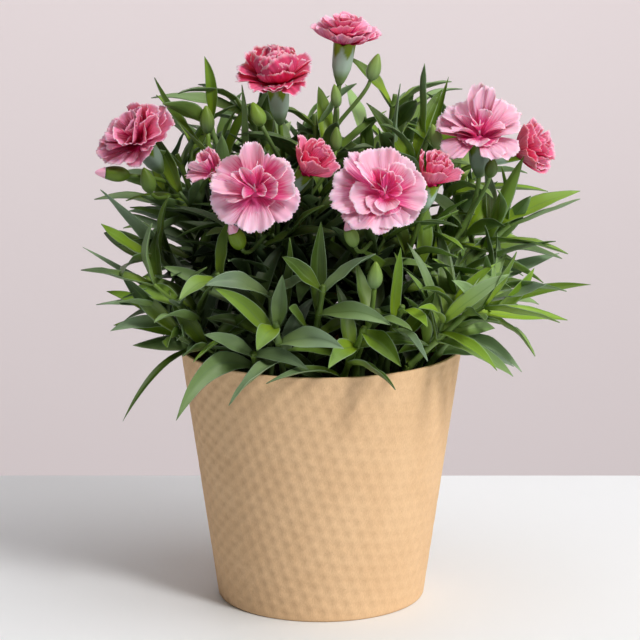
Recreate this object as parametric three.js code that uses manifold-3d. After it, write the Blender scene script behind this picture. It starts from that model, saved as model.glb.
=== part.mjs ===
// A dianthus (pot carnation) rooted in a nursery pot, which stands in an embossed paper cover pot.
// Millimetres, +Z up. The origin is the middle of the cover pot's underside, and -Y is the front.
// Every leafy stem and every bloom is one mesh: its leaves, calyx and buds are fused to it.

import * as THREE from "three";
import Module from "manifold-3d";

const wasm = await Module();
wasm.setup();

// ---- driving dimensions ----

const gap = 0.3; // between pieces that touch

const coverPot = {
  topRadius: 65,
  baseRadius: 48,
  height: 119,
  wall: 1.5,
  floor: 1.8,
  cornerRadius: 1,
  columns: 48, // of the embossed relief, a multiple of three
  rows: 12,
  reliefDepth: 0.55,
};

const nurseryPot = {
  topRadius: 58.5,
  baseRadius: 43,
  height: 107,
  wall: 0.8,
  lip: 1.7,
  lipHeight: 7,
  sides: 20,
  drainHoles: 5,
  drainRadius: 4,
  drainCircle: 28,
};

const soil = { top: 100, unevenness: 1.6, holeDepth: 9, sides: 20 };

const stem = { radius: 1.6, straight: 2, node: 2.6, branchRadius: 1.05 };

const leaf = {
  length: 44,
  width: 9.2,
  thickness: 0.95,
  clearance: 0.35, // kept free all round each blade
  foot: 0.03, // how far out a leaf is tried against other stems
  leastOpening: 27, // degrees from the stem
  stations: [0.22, 0.5, 0.79],
};

// The space before the cover pot's front, which leaves keep free so that its rim shows.
const apron = { left: -34, right: 58, front: -100, back: -60, low: 60, high: 116 };

const calyx = { length: 17, mouth: 5, foot: 2.4, teeth: 5, tooth: 2.4, socket: 4 };

// outline: along the petal, across it, and off its middle face. See petalFaces for the order.
const petal = {
  coreSides: 5,
  claw: 1.3,
  layerRise: 2.4,
  lean: 0.35,
  outline: [
    [0.42, -1, 0],
    [0.84, -1, 0],
    [0.97, -0.72, 0],
    [0.91, -0.36, 0],
    [1, 0, 0],
    [0.91, 0.36, 0],
    [0.97, 0.72, 0],
    [0.84, 1, 0],
    [0.42, 1, 0],
    [0.42, 0, 0.4],
    [0.8, 0, 0.4],
    [0.42, 0, -0.4],
    [0.8, 0, -0.4],
  ],
};

// Leafy stems: where each is rooted, where its tip is, how many pairs of leaves it bears, and
// single leaves that reach for a given point: [lowest pair below the top, tip, lift, width, roll].
const shoots = {
  left_high: {
    root: [-17, 12],
    tip: [-52, 3, 226],
    pairs: 5,
    reaching: [
      [0, [-53, 5, 252], 3, 6, 60],
      [1, [-75, -6, 244], 9, 7.4, -50],
      [1, [-36, -2, 240], 7, 7, 50],
    ],
  },
  left_mid: {
    root: [-33, 0],
    tip: [-76, -15, 166],
    pairs: 5,
    reaching: [
      [0, [-99, -22, 180], 4, 9.4, -35],
      [1, [-100, -14, 194], 2, 8.4, -35],
      [2, [-86, 0, 180], 3, 8.4, -45],
      [1, [-102, -24, 143], 10, 7.4, -25],
      [3, [-109, -6, 166], 6, 5.4, -20],
    ],
  },
  left_low: {
    root: [-43, -10],
    tip: [-70, -33, 137],
    pairs: 4,
    reaching: [
      [0, [-95, -34, 133], 6, 7, -25],
      [1, [-95, -14, 131], 6, 7, -20],
      [1, [-89, -50, 95], 20, 4, -30],
    ],
  },
  rim_left: {
    root: [-29, -34],
    tip: [-30, -54, 128],
    pairs: 3,
    reaching: [[1, [-64, -71, 101], 26, 11, -50]],
  },
  right_high: {
    root: [19, 13],
    tip: [50, 2, 220],
    pairs: 5,
    reaching: [
      [0, [47, 3, 249], 3, 7, 60],
      [1, [36, -4, 241], 2, 7.4, -20],
      [1, [73, 6, 238], 8, 7.4, 50],
      [2, [58, 4, 243], 2, 6.4, 20],
    ],
  },
  right_mid: {
    root: [33, 4],
    tip: [88, 2, 178],
    pairs: 5,
    reaching: [
      [0, [118, -4, 188], 8, 6.4, 10],
      [1, [92, -6, 208], 3, 9.6, 30],
      [1, [106, -22, 172], 12, 7.4, 35],
      [2, [110, 8, 160], 6, 10, 35],
    ],
  },
  right_low: {
    root: [42, -8],
    tip: [78, -24, 148],
    pairs: 4,
    reaching: [
      [0, [101, -36, 155], 4, 9.5, 35],
      [1, [123, -14, 150], 9, 6, 20],
      [1, [90, -46, 117], 12, 9.5, 30],
    ],
  },
  rim_right: {
    root: [44, -22],
    tip: [60, -30, 131],
    pairs: 3,
    reaching: [[1, [88, -20, 113], 10, 8.5, 20]],
  },
  heart_left: { root: [-12, 26], tip: [-24, 30, 214], pairs: 5 },
  heart_right: { root: [10, 20], tip: [20, 26, 218], pairs: 5 },
  heart_front: { root: [-2, -6], tip: [-6, -16, 190], pairs: 4 },
  crown_left: { root: [-8, 14], tip: [-33, 18, 228], pairs: 4 },
  crown_middle: { root: [3, 14], tip: [-3, 14, 224], pairs: 4 },
  crown_right: { root: [16, 28], tip: [34, 20, 232], pairs: 4 },
  crown_far_left: { root: [-34, 8], tip: [-66, 10, 206], pairs: 4 },
  crown_far_right: { root: [39, 10], tip: [66, 18, 216], pairs: 4 },
  back_far_left: { root: [-38, 16], tip: [-74, 32, 190], pairs: 4 },
  back_left: { root: [-28, 34], tip: [-48, 62, 196], pairs: 4 },
  back_middle: { root: [-4, 43], tip: [-6, 70, 198], pairs: 4 },
  back_right: { root: [22, 37], tip: [38, 64, 194], pairs: 4 },
  back_far_right: { root: [38, 20], tip: [72, 34, 194], pairs: 4 },
  skirt_back_left: { root: [-20, 44], tip: [-44, 86, 148], pairs: 4 },
  skirt_back_right: { root: [34, 36], tip: [66, 70, 146], pairs: 4 },
  skirt_back: { root: [10, 47], tip: [8, 90, 150], pairs: 4 },
  front_left: { root: [-20, -26], tip: [-46, -54, 164], pairs: 4 },
  front_middle: {
    root: [-6, -36],
    tip: [1, -60, 160],
    pairs: 4,
    reaching: [
      [0, [-17, -70, 175], 3, 8.5, -50],
      [0, [31, -74, 145], 8, 9, 50],
      [1, [0, -62, 189], 0, 8.5, 0],
      [1, [-14, -74, 153], 8, 9, -50],
    ],
  },
  front_right: {
    root: [24, -32],
    tip: [36, -57, 150],
    pairs: 4,
    reaching: [
      [1, [35, -60, 177], 4, 6.5, 0],
      [0, [50, -64, 158], 3, 8.5, 50],
    ],
  },
  front_inner: {
    root: [-23, -37],
    tip: [-22, -54, 156],
    pairs: 4,
    reaching: [
      [0, [-51, -70, 162], 10, 9.5, -50],
      [1, [-14, -58, 181], 2, 8.5, 0],
    ],
  },
  front_far_left: { root: [-40, -26], tip: [-64, -46, 150], pairs: 3 },
  front_far_right: { root: [34, -34], tip: [66, -48, 146], pairs: 3 },
  rim_middle: {
    root: [8, -46],
    tip: [19, -64, 142],
    pairs: 4,
    reaching: [
      [0, [35, -76, 127], 5, 10, 50],
      [1, [3, -80, 127], 8, 9.5, -30],
    ],
  },
  rim_front: {
    root: [-16, -44],
    tip: [-20, -64, 144],
    pairs: 4,
    reaching: [
      [0, [-28, -80, 135], 6, 10, -30],
      [0, [-17, -66, 166], 0, 8.5, 0],
      [1, [-47, -66, 160], 8, 8, -50],
      [1, [10, -80, 136], 8, 10.5, 50],
    ],
  },
};

// Flowering stems: the bloom's middle, the way it faces, its radius and kind, and the buds on the
// stem's side shoots: [share of the stem, tip, facing, length, radius, open].
const flowering = {
  top: {
    root: [3, 6],
    head: { at: [11, 6, 261], facing: [0.12, -0.14, 1], radius: 15, kind: "full" },
    pairs: 3,
    buds: [
      [0.84, [26, 5, 253], [0.3, 0, 1], 13, 3.3, false],
      [0.76, [6, -1, 240], [-0.12, -0.1, 1], 11, 2.5, false],
    ],
  },
  crimson: {
    root: [-9, 4],
    head: { at: [-20, 0, 243], facing: [-0.06, -0.3, 1], radius: 16.5, kind: "full" },
    pairs: 3,
    buds: [[0.8, [-31, -9, 233], [-0.4, -0.15, 1], 12, 3.4, false]],
  },
  left: {
    root: [-27, 12],
    head: { at: [-83, -8, 217], facing: [-0.42, -0.52, 0.76], radius: 19, kind: "full" },
    pairs: 2,
    buds: [
      [0.9, [-102, -14, 202], [-1, -0.15, 0.12], 16, 3.6, true],
      [0.84, [-80, -14, 204], [-0.25, -0.3, 1], 13, 3.5, false],
    ],
  },
  front_left: {
    root: [-13, -17],
    head: { at: [-29, -52, 201], facing: [-0.1, -0.86, 0.5], radius: 20.5, kind: "full" },
    pairs: 2,
    buds: [[0.74, [-40, -57, 187], [-0.35, -0.35, 0.87], 14, 3.8, true]],
  },
  middle: {
    root: [6, -14],
    head: { at: [-4, -34, 210], facing: [0.5, -0.4, 0.77], radius: 11, kind: "half" },
    pairs: 2,
    buds: [[0.7, [7, -16, 223], [0.05, -0.1, 1], 11, 2.8, false]],
  },
  front_right: {
    root: [16, -24],
    head: { at: [28, -54, 200], facing: [0.1, -0.82, 0.57], radius: 20.5, kind: "full" },
    pairs: 2,
    buds: [[0.74, [11, -57, 188], [-0.3, -0.25, 0.92], 13, 3.2, true]],
  },
  right: {
    root: [26, -12],
    head: { at: [50, -38, 206], facing: [0.22, -0.4, 0.9], radius: 10, kind: "half" },
    pairs: 2,
    buds: [[0.78, [50, -15, 224], [-0.25, -0.1, 1], 12, 3, false]],
  },
  far_right: {
    root: [30, -2],
    head: { at: [71, -18, 221], facing: [-0.02, -0.42, 0.9], radius: 19.5, kind: "full" },
    pairs: 2,
    buds: [[0.8, [77, -24, 210], [0.1, -0.5, 0.8], 11, 3, false]],
  },
  half_left: {
    root: [-34, -19],
    head: { at: [-49, -41, 209], facing: [-0.5, -0.45, 0.75], radius: 8, kind: "half" },
    pairs: 2,
    buds: [],
  },
  half_right: {
    root: [28, 16],
    head: { at: [95, 2, 210], facing: [0.9, -0.3, 0.32], radius: 12, kind: "half" },
    pairs: 2,
    buds: [],
  },
  bud_left: {
    root: [-24, 22],
    head: { at: [-52, -6, 231], facing: [-0.05, -0.1, 1], radius: 3.4, kind: "bud" },
    pairs: 3,
    buds: [],
  },
  bud_front: {
    root: [14, -38],
    head: { at: [24, -62, 171], facing: [0.05, -0.2, 1], radius: 3.4, kind: "bud" },
    pairs: 2,
    buds: [],
  },
};

// Rings of petals, from the outermost in: how many, how far they open at foot and edge
// in degrees from the bloom's axis, and their length and half width as shares of the radius.
const petalRings = {
  full: [
    { count: 5, foot: 52, edge: 102, length: 0.95, width: 0.72 },
    { count: 5, foot: 30, edge: 72, length: 0.9, width: 0.54 },
    { count: 3, foot: 8, edge: 36, length: 0.72, width: 0.36 },
  ],
  half: [
    { count: 5, foot: 14, edge: 46, length: 1.45, width: 0.45 },
    { count: 3, foot: 4, edge: 20, length: 1.25, width: 0.3 },
  ],
};

// ---- small tools ----

const up = new THREE.Vector3(0, 0, 1);

function vector(values) {
  return new THREE.Vector3(...values);
}

function radians(degrees) {
  return (degrees * Math.PI) / 180;
}

// A number from 0 to 1 that looks random but is always the same for the same a and b.
function scatter(a, b) {
  const value = Math.sin(a * 12.9898 + b * 78.233) * 43758.5453;
  return value - Math.floor(value);
}

function solidOf(points, faces) {
  const mesh = new wasm.Mesh({
    numProp: 3,
    vertProperties: new Float32Array(points.flatMap((point) => point.toArray())),
    triVerts: new Uint32Array(faces.flat()),
  });
  return new wasm.Manifold(mesh);
}

// A closed solid through rings of points. Each ring turns counter-clockwise about the way the
// rings follow each other. A ring of one point closes an end to a tip, any other end is flat.
function loft(rings, leaning = false) {
  const points = rings.flat();
  const faces = [];
  let start = 0;
  rings.forEach((ring, index) => {
    const next = rings[index + 1];
    const last = ring.length - 1;
    for (let corner = 1; corner < last && index === 0; corner += 1) {
      faces.push([start, start + corner + 1, start + corner]);
    }
    for (let corner = 1; corner < last && !next; corner += 1) {
      faces.push([start, start + corner, start + corner + 1]);
    }
    if (!next) {
      return;
    }
    const above = start + ring.length;
    const corners = Math.max(ring.length, next.length);
    for (let corner = 0; corner < corners; corner += 1) {
      const turned = (corner + 1) % corners;
      const [a, b] = ring.length > 1 ? [start + corner, start + turned] : [start, start];
      const [d, c] = next.length > 1 ? [above + corner, above + turned] : [above, above];
      if (a === b) {
        faces.push([a, c, d]);
      } else if (c === d) {
        faces.push([a, b, c]);
      } else if (leaning) {
        faces.push([a, b, d], [b, c, d]);
      } else {
        faces.push([a, b, c], [a, c, d]);
      }
    }
    start = above;
  });
  return solidOf(points, faces);
}

// Like a loft, but a flat between two rings may be the seat of an outgrowth: the flat is left out,
// and the outgrowth's own points and faces close the skin. Flat number n faces between corners
// n - 1 and n. outgrowths[level][flat] is { points, facesOn(seat, first) }, with the seat's
// corners in the order lower left, lower right, upper right, upper left.
function skin(rings, outgrowths) {
  const points = rings.flat();
  const faces = [];
  const sides = rings[0].length;
  for (let corner = 1; corner < sides - 1; corner += 1) {
    faces.push([0, corner + 1, corner]);
  }
  rings.slice(0, -1).forEach((ring, level) => {
    const low = level * sides;
    const high = low + sides;
    for (let left = 0; left < sides; left += 1) {
      const right = (left + 1) % sides;
      const outgrowth = outgrowths[level]?.[right];
      if (rings[level + 1].length === 1) {
        faces.push([low + left, low + right, high]);
      } else if (outgrowth) {
        const seat = [low + left, low + right, high + right, high + left];
        faces.push(...outgrowth.facesOn(seat, points.length));
        points.push(...outgrowth.points);
      } else {
        faces.push([low + left, low + right, high + right]);
        faces.push([low + left, high + right, high + left]);
      }
    }
  });
  const top = (rings.length - 1) * sides;
  for (let corner = 1; corner < rings.at(-1).length - 1; corner += 1) {
    faces.push([top, top + corner, top + corner + 1]);
  }
  return solidOf(points, faces);
}

// A ring about the Z axis. radiusAt may change the radius from corner to corner.
function ringAt(radius, height, sides, turn = 0, radiusAt = () => radius) {
  return Array.from({ length: sides }, (_, corner) => {
    const angle = ((corner + turn) * 2 * Math.PI) / sides;
    const reach = radiusAt(corner);
    return new THREE.Vector3(reach * Math.cos(angle), reach * Math.sin(angle), height);
  });
}

// A ring about any line: middle, the line's direction, and one direction across it.
function ringAcross(middle, along, across, radius, sides) {
  const side = across.clone().addScaledVector(along, -across.dot(along)).normalize();
  const other = along.clone().cross(side);
  return Array.from({ length: sides }, (_, corner) => {
    const angle = (corner * 2 * Math.PI) / sides;
    return middle
      .clone()
      .addScaledVector(side, radius * Math.cos(angle))
      .addScaledVector(other, radius * Math.sin(angle));
  });
}

function fuse(solids) {
  return solids.reduce((whole, solid) => whole.add(solid));
}

function boxOf(solid) {
  const { min, max } = solid.boundingBox();
  return new THREE.Box3(vector(min), vector(max));
}

// ---- pots and soil ----

function coverPotSolid() {
  const { topRadius, baseRadius, height, wall, floor, cornerRadius, columns, rows } = coverPot;
  const slope = (topRadius - baseRadius) / height;
  const rings = [[new THREE.Vector3(0, 0, 0)], ringAt(baseRadius - cornerRadius, 0, columns)];
  for (let row = 0; row <= rows; row += 1) {
    const share = row / rows;
    const level = cornerRadius + share * (height - cornerRadius);
    const radius = baseRadius + slope * level;
    const plain = row === 0 || row === rows;
    const dimpled = (corner) =>
      !plain && (corner - row + 3 * rows) % 3 === 0 ? radius - coverPot.reliefDepth : radius;
    rings.push(ringAt(radius, level, columns, row / 2, dimpled));
  }
  const rimTurn = rows / 2;
  rings.push(ringAt(topRadius - wall, height, columns, rimTurn));
  rings.push(ringAt(baseRadius + slope * floor - wall, floor, columns, rimTurn));
  rings.push([new THREE.Vector3(0, 0, floor)]);
  return loft(rings, true);
}

function nurseryPotSolid() {
  const { topRadius, baseRadius, height, wall, lip, lipHeight, sides } = nurseryPot;
  const bottom = coverPot.floor + gap;
  const under = height - lipHeight;
  const slope = (topRadius - lip - baseRadius) / (height - bottom);
  const radiusAt = (level) => baseRadius + slope * (level - bottom);
  const shell = loft([
    [new THREE.Vector3(0, 0, bottom)],
    ringAt(baseRadius, bottom, sides),
    ringAt(radiusAt(under), under, sides),
    ringAt(topRadius, under, sides),
    ringAt(topRadius, height, sides),
    ringAt(radiusAt(height) - wall, height, sides),
    ringAt(radiusAt(bottom + wall) - wall, bottom + wall, sides),
    [new THREE.Vector3(0, 0, bottom + wall)],
  ]);
  const holes = Array.from({ length: nurseryPot.drainHoles }, (_, index) => {
    const angle = (index * 2 * Math.PI) / nurseryPot.drainHoles;
    const middle = new THREE.Vector3(Math.cos(angle), Math.sin(angle), 0);
    middle.multiplyScalar(nurseryPot.drainCircle);
    const low = middle.clone().setZ(bottom - 1);
    const high = middle.clone().setZ(bottom + wall + 1);
    const across = new THREE.Vector3(1, 0, 0);
    return loft([
      ringAcross(low, up, across, nurseryPot.drainRadius, 6),
      ringAcross(high, up, across, nurseryPot.drainRadius, 6),
    ]);
  });
  return shell.subtract(fuse(holes));
}

function soilSolid(stems) {
  const { sides, top, unevenness, holeDepth } = soil;
  const bottom = coverPot.floor + 2 * gap + nurseryPot.wall;
  const inside = nurseryPot.topRadius - nurseryPot.lip - nurseryPot.wall;
  const slope = (inside + nurseryPot.wall - nurseryPot.baseRadius) / (nurseryPot.height - 2);
  // The pot's flat sides come closer to the axis than its corners.
  const clear = gap / Math.cos(Math.PI / sides);
  const edge = (level) => nurseryPot.baseRadius - nurseryPot.wall + slope * (level - 2) - clear;
  const bumpy = (radius, seed) =>
    ringAt(radius, top, sides).map((point, corner) =>
      point.setZ(top + unevenness * (scatter(corner, seed) - 0.5)),
    );
  const body = loft([
    [new THREE.Vector3(0, 0, bottom)],
    ringAt(edge(bottom), bottom, sides),
    ringAt(edge(top - 1.5) - gap, top - 1.5, sides),
    bumpy(edge(top) * 0.78, 3),
    bumpy(edge(top) * 0.4, 5),
    [new THREE.Vector3(0, 0, top)],
  ]);
  const holes = stems.map(({ root, curve, turn }) => {
    const radius = stem.radius + gap * Math.SQRT2;
    const frame = stemFrame(curve, 0, turn);
    const low = new THREE.Vector3(...root, top - holeDepth - gap);
    const high = new THREE.Vector3(...root, top + 2 * unevenness);
    return loft([
      stemRing({ ...frame, middle: low }, radius),
      stemRing({ ...frame, middle: high }, radius),
    ]);
  });
  return body.subtract(fuse(holes));
}

// ---- stems ----

// A stem's middle line: straight up out of the soil, then a smooth curve to its end.
function stemCurve(root, end, facing, looseness) {
  const start = new THREE.Vector3(...root, soil.top + stem.straight);
  const reach = start.distanceTo(end);
  return new THREE.CubicBezierCurve3(
    start,
    start.clone().addScaledVector(up, reach * looseness),
    end.clone().addScaledVector(facing, -reach * looseness),
    end,
  );
}

// The level direction square to the way a stem leans.
function levelAcross(curve) {
  const lean = curve.v3.clone().sub(curve.v0).setZ(0);
  return new THREE.Vector3(-lean.y, lean.x, 0).normalize();
}

// A stem at a share of its length: its middle, the way it runs, and the ways its four flats face.
function stemFrame(curve, share, turn) {
  const along = curve.getTangent(share);
  const level = levelAcross(curve);
  const side = level.addScaledVector(along, -level.dot(along)).normalize();
  const flats = [0, 1, 2, 3].map((flat) =>
    side.clone().applyAxisAngle(along, turn + (flat * Math.PI) / 2),
  );
  return { middle: curve.getPoint(share), along, flats };
}

// Corner number flat lies between that flat and the next.
function stemRing({ middle, flats }, radius) {
  return flats.map((flat, index) =>
    middle
      .clone()
      .addScaledVector(flat, radius * Math.SQRT1_2)
      .addScaledVector(flats[(index + 1) % 4], radius * Math.SQRT1_2),
  );
}

function branchSolid(curve) {
  const steps = 3;
  const rings = Array.from({ length: steps + 1 }, (_, step) =>
    stemRing(stemFrame(curve, step / steps, 0), stem.branchRadius),
  );
  return loft(rings);
}

// A stem with its leaves in one skin. Each leaf grows out of one flat of the stem at its node.
// nodes: [{ share, leaves: [a leaf or nothing for each of the four flats] }], from the root up.
function leafyStemSolid({ root, curve, turn, nodes, pointed }) {
  const thin = (share) => stem.radius * (1 - 0.25 * share);
  const half = stem.node / 2 / curve.getLength();
  const foot = stemFrame(curve, 0, turn);
  const buried = { ...foot, middle: new THREE.Vector3(...root, soil.top - soil.holeDepth) };
  const rings = [stemRing(buried, stem.radius), stemRing(foot, stem.radius)];
  const leavesAbove = [[], []];
  nodes.forEach(({ share, leaves }) => {
    [share - half, share + half].forEach((at) => {
      rings.push(stemRing(stemFrame(curve, at, turn), thin(at)));
    });
    leavesAbove.push(leaves, []);
  });
  rings.push(pointed ? [curve.getPoint(1)] : stemRing(stemFrame(curve, 1, turn), thin(1)));
  return skin(rings, leavesAbove);
}

// ---- leaves ----

function bladeWidth(share) {
  return (1 - share ** 3) * (0.3 + 0.78 * Math.sin(Math.PI * share));
}

// The sections of a blade: [left, right, keel] at each station, and then the tip alone.
// room is kept free all round it, and more about its foot, where it widens out of the stem.
function bladeSections({ line, across, width, roll }, shares, room = 0) {
  const sections = shares.map((share) => {
    const middle = line.getPoint(share);
    const along = line.getTangent(share);
    const sideways = across
      .clone()
      .addScaledVector(along, -across.dot(along))
      .normalize()
      .applyAxisAngle(along, roll * Math.min(share * 1.6, 1));
    const under = sideways.clone().cross(along);
    const extra = room * (1 + 1.5 * Math.max(1 - share * 5, 0));
    const half = (width / 2) * bladeWidth(share) + extra;
    const depth = leaf.thickness * (1 - 0.5 * share) + extra;
    return [
      middle.clone().addScaledVector(sideways, -half).addScaledVector(under, -extra),
      middle.clone().addScaledVector(sideways, half).addScaledVector(under, -extra),
      middle.clone().addScaledVector(under, depth),
    ];
  });
  const tip = line.v2.clone().addScaledVector(line.getTangent(1), 2 * room);
  return [...sections, [tip]];
}

// The faces of a blade that grows from the four corners of its seat: lower left, lower right,
// upper right, upper left. The blade's own points start at number first. Where the blade twists,
// every four-cornered facet is folded outwards.
function bladeFaces([lowLeft, lowRight, highRight, highLeft], first, sections, twist) {
  const folded = (a, b, c, d) =>
    twist < 0 ? [[a, b, d], [b, c, d]] : [[a, b, c], [a, c, d]];
  const faces = [
    ...folded(highLeft, first, first + 1, highRight),
    ...folded(lowLeft, first + 2, first, highLeft),
    ...folded(highRight, first + 1, first + 2, lowRight),
    [lowLeft, lowRight, first + 2],
  ];
  for (let section = 0; section < sections - 2; section += 1) {
    const [left, right, keel] = [0, 1, 2].map((corner) => first + section * 3 + corner);
    const [nextLeft, nextRight, nextKeel] = [left + 3, right + 3, keel + 3];
    faces.push(...folded(left, nextLeft, nextRight, right));
    faces.push(...folded(keel, nextKeel, nextLeft, left));
    faces.push(...folded(right, nextRight, nextKeel, keel));
  }
  const [left, right, keel] = [0, 1, 2].map((corner) => first + (sections - 2) * 3 + corner);
  const tip = keel + 1;
  faces.push([left, tip, right], [keel, tip, left], [right, tip, keel]);
  return faces;
}

// A blade by itself, for trying where it fits.
function bladeSolid(blade, shares, room = 0) {
  const rings = bladeSections(blade, shares, room).map((section) => {
    const [left, right, keel] = section;
    return section.length === 1 ? section : [right, left, keel];
  });
  return loft(rings, blade.roll >= 0);
}

// The ways in which a leaf may give way to its neighbours, in the order they are tried:
// turned round the stem in degrees, raised in degrees, and shortened.
const givings = [
  [0, 0, 1],
  [14, 0, 1],
  [-14, 0, 1],
  [0, 14, 1],
  [0, -14, 1],
  [22, -8, 1],
  [-22, -8, 1],
  [14, -16, 0.9],
  [-14, -16, 0.9],
  [0, -26, 0.85],
  [24, -12, 0.8],
  [-24, -12, 0.8],
  [18, -4, 0.7],
  [-18, -4, 0.7],
  [0, -22, 0.65],
  [0, 26, 0.6],
];

// One leaf of a pair: it leaves the stem at a slant and arches away from it.
function ruledBlade(frame, flat, { length, width, roll, opening, arch }, giving) {
  const [turned, raised, shortened] = giving;
  const { middle, along, flats } = frame;
  const outward = flats[flat].clone().applyAxisAngle(along, radians(turned));
  const heading = (degrees) =>
    along
      .clone()
      .multiplyScalar(Math.cos(radians(degrees)))
      .addScaledVector(outward, Math.sin(radians(degrees)));
  const reach = length * shortened;
  const leaving = Math.max(opening - raised, leaf.leastOpening);
  const bend = middle.clone().addScaledVector(heading(leaving), reach * 0.5);
  const tip = bend.clone().addScaledVector(heading(leaving + arch), reach * 0.5);
  tip.z -= reach * 0.1 * (1 - outward.z);
  const line = new THREE.QuadraticBezierCurve3(middle, bend, tip);
  return { line, across: along.clone().cross(outward), width, roll: radians(roll) };
}

// A leaf that reaches for a given point, bowed upwards.
function reachingBlade({ middle, along }, tip, lift, width, roll) {
  const bend = middle.clone().lerp(tip, 0.45);
  bend.z += lift;
  const outward = tip.clone().sub(middle);
  outward.addScaledVector(along, -outward.dot(along)).normalize();
  const leaving = bend.clone().sub(middle);
  const leastOut = leaving.dot(along) * Math.tan(radians(leaf.leastOpening));
  bend.addScaledVector(outward, Math.max(leastOut - leaving.dot(outward), 0));
  const line = new THREE.QuadraticBezierCurve3(middle, bend, tip);
  return { line, across: along.clone().cross(outward), width, roll: radians(roll) };
}

// ---- calyx, buds and petals ----

function calyxSolid(mouth, facing, size) {
  const across = new THREE.Vector3(0.2, 1, 0.1);
  const sides = calyx.teeth * 2;
  const at = (share) => mouth.clone().addScaledVector(facing, (share - 1) * calyx.length * size);
  const ring = (share, radius) => ringAcross(at(share), facing, across, radius * size, sides);
  const toothed = (radius) =>
    ring(1, radius).map((point, corner) =>
      point.addScaledVector(facing, corner % 2 ? 0 : calyx.tooth * size),
    );
  const socketFloor = 1 - calyx.socket / calyx.length;
  return loft([
    [at(-0.12)],
    ring(0.02, calyx.foot),
    ring(0.35, calyx.mouth * 0.86),
    toothed(calyx.mouth),
    toothed(calyx.mouth * 0.72),
    ring(socketFloor, calyx.mouth * 0.6),
  ]);
}

// A bud is a spindle. cut leaves its end open for the coloured tip that follows.
function budRings(tip, facing, length, radius, from, to) {
  const across = new THREE.Vector3(0.2, 1, 0.1);
  const shape = (share) => Math.sin(Math.PI * share ** 0.8) ** 0.75 * (1 - 0.25 * share) + 0.1;
  const shares = [from, from + (to - from) * 0.3, from + (to - from) * 0.65, to];
  return shares.map((share) => {
    const middle = tip.clone().addScaledVector(facing, (share - 1) * length);
    if (share === 1) {
      return [middle];
    }
    return ringAcross(middle, facing, across, radius * shape(share), 7);
  });
}

// The points of one petal: a fan on a narrow claw with a toothed edge, lens-shaped in section.
function petalPoints({ mouth, facing, across, other }, spec) {
  const { angle, foot, edge, length, width, start, rise, lean } = spec;
  const outward = across
    .clone()
    .multiplyScalar(Math.cos(angle))
    .addScaledVector(other, Math.sin(angle));
  const sideways = facing.clone().cross(outward);
  const opening = edge - foot;
  const at = ([share, side, lift]) => {
    const bent = foot + opening * share;
    const spread = width * (0.02 + 0.8 * share);
    const upper = facing
      .clone()
      .multiplyScalar(Math.sin(bent))
      .addScaledVector(outward, -Math.cos(bent));
    return mouth
      .clone()
      .addScaledVector(outward, start + (length / opening) * (Math.cos(foot) - Math.cos(bent)))
      .addScaledVector(facing, rise + (length / opening) * (Math.sin(bent) - Math.sin(foot)))
      .addScaledVector(sideways, side * spread)
      .addScaledVector(upper, lift + spread * (lean * side + 0.22 * side * side));
  };
  return petal.outline.map(at);
}

// The faces of a petal on its seat. Points 0 to 8 run round its edge from the left of the claw
// to the right, 9 and 10 lie along the middle of the upper face, 11 and 12 along the lower.
function petalFaces([lowLeft, lowRight, highRight, highLeft], first) {
  const edge = Array.from({ length: 9 }, (_, index) => first + index);
  const cover = (left, right, inner, outer) => [
    [left, edge[0], inner],
    [left, inner, right],
    [right, inner, edge[8]],
    [edge[0], edge[1], inner],
    [inner, edge[1], outer],
    [inner, outer, edge[7]],
    [inner, edge[7], edge[8]],
    ...edge.slice(1, 7).map((point) => [outer, point, point + 1]),
  ];
  const upper = cover(highLeft, highRight, first + 9, first + 10);
  const lower = cover(lowLeft, lowRight, first + 11, first + 12);
  return [
    ...upper,
    ...lower.map(([one, two, three]) => [one, three, two]),
    [lowLeft, edge[0], highLeft],
    [lowRight, highRight, edge[8]],
  ];
}

// A bloom's petals grow from a slender core that stands in the socket of its calyx.
function bloomSolid(head, seed) {
  const facing = vector(head.facing).normalize();
  const across = facing.clone().cross(new THREE.Vector3(0.2, 1, 0.1)).normalize();
  const other = facing.clone().cross(across);
  const size = calyxSize(head);
  const mouth = mouthOf(head);
  const plug = calyx.mouth * 0.6 * size - gap;
  const sides = petal.coreSides;
  const layers = petalRings[head.kind];
  const ring = (height, turn, radius) => {
    const middle = mouth.clone().addScaledVector(facing, height);
    const start = across.clone().applyAxisAngle(facing, turn - Math.PI / sides);
    return ringAcross(middle, facing, start, radius, sides).map((_, corner, all) =>
      all[(corner + 1) % sides],
    );
  };
  const turnOf = (layer) => (seed * 0.41 + layer * 0.5) * ((2 * Math.PI) / sides);
  const rings = [ring(gap - calyx.socket * size, turnOf(0), plug)];
  const outgrowths = [[]];
  layers.forEach(({ count, foot, edge, length, width }, layer) => {
    const rise = calyx.tooth * size * 0.95 + layer * petal.layerRise * size;
    const radius = plug * (1 - 0.22 * layer);
    const turn = turnOf(layer);
    rings.push(ring(rise, turn, radius), ring(rise + petal.claw * size, turn, radius));
    const petals = [];
    for (let index = 0; index < count; index += 1) {
      const jitter = scatter(seed * 31 + index, layer + 1) - 0.5;
      const flat = Math.round((index * sides) / count) % sides;
      const spec = {
        angle: turn + ((index + jitter * 0.03) * 2 * Math.PI) / count,
        foot: radians(foot),
        edge: radians(edge + jitter * 6),
        length: head.radius * length * (1 - 0.08 * scatter(index, seed)),
        width: head.radius * width,
        start: radius * 0.8,
        rise: rise + petal.claw * size * 0.5,
        lean: petal.lean,
      };
      const points = petalPoints({ mouth, facing, across, other }, spec);
      petals[flat] = { points, facesOn: petalFaces };
    }
    outgrowths.push(petals, []);
  });
  const top = calyx.tooth * size * 0.95 + layers.length * petal.layerRise * size;
  rings.push([mouth.clone().addScaledVector(facing, top + petal.claw * size)]);
  return skin(rings, outgrowths);
}

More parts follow.
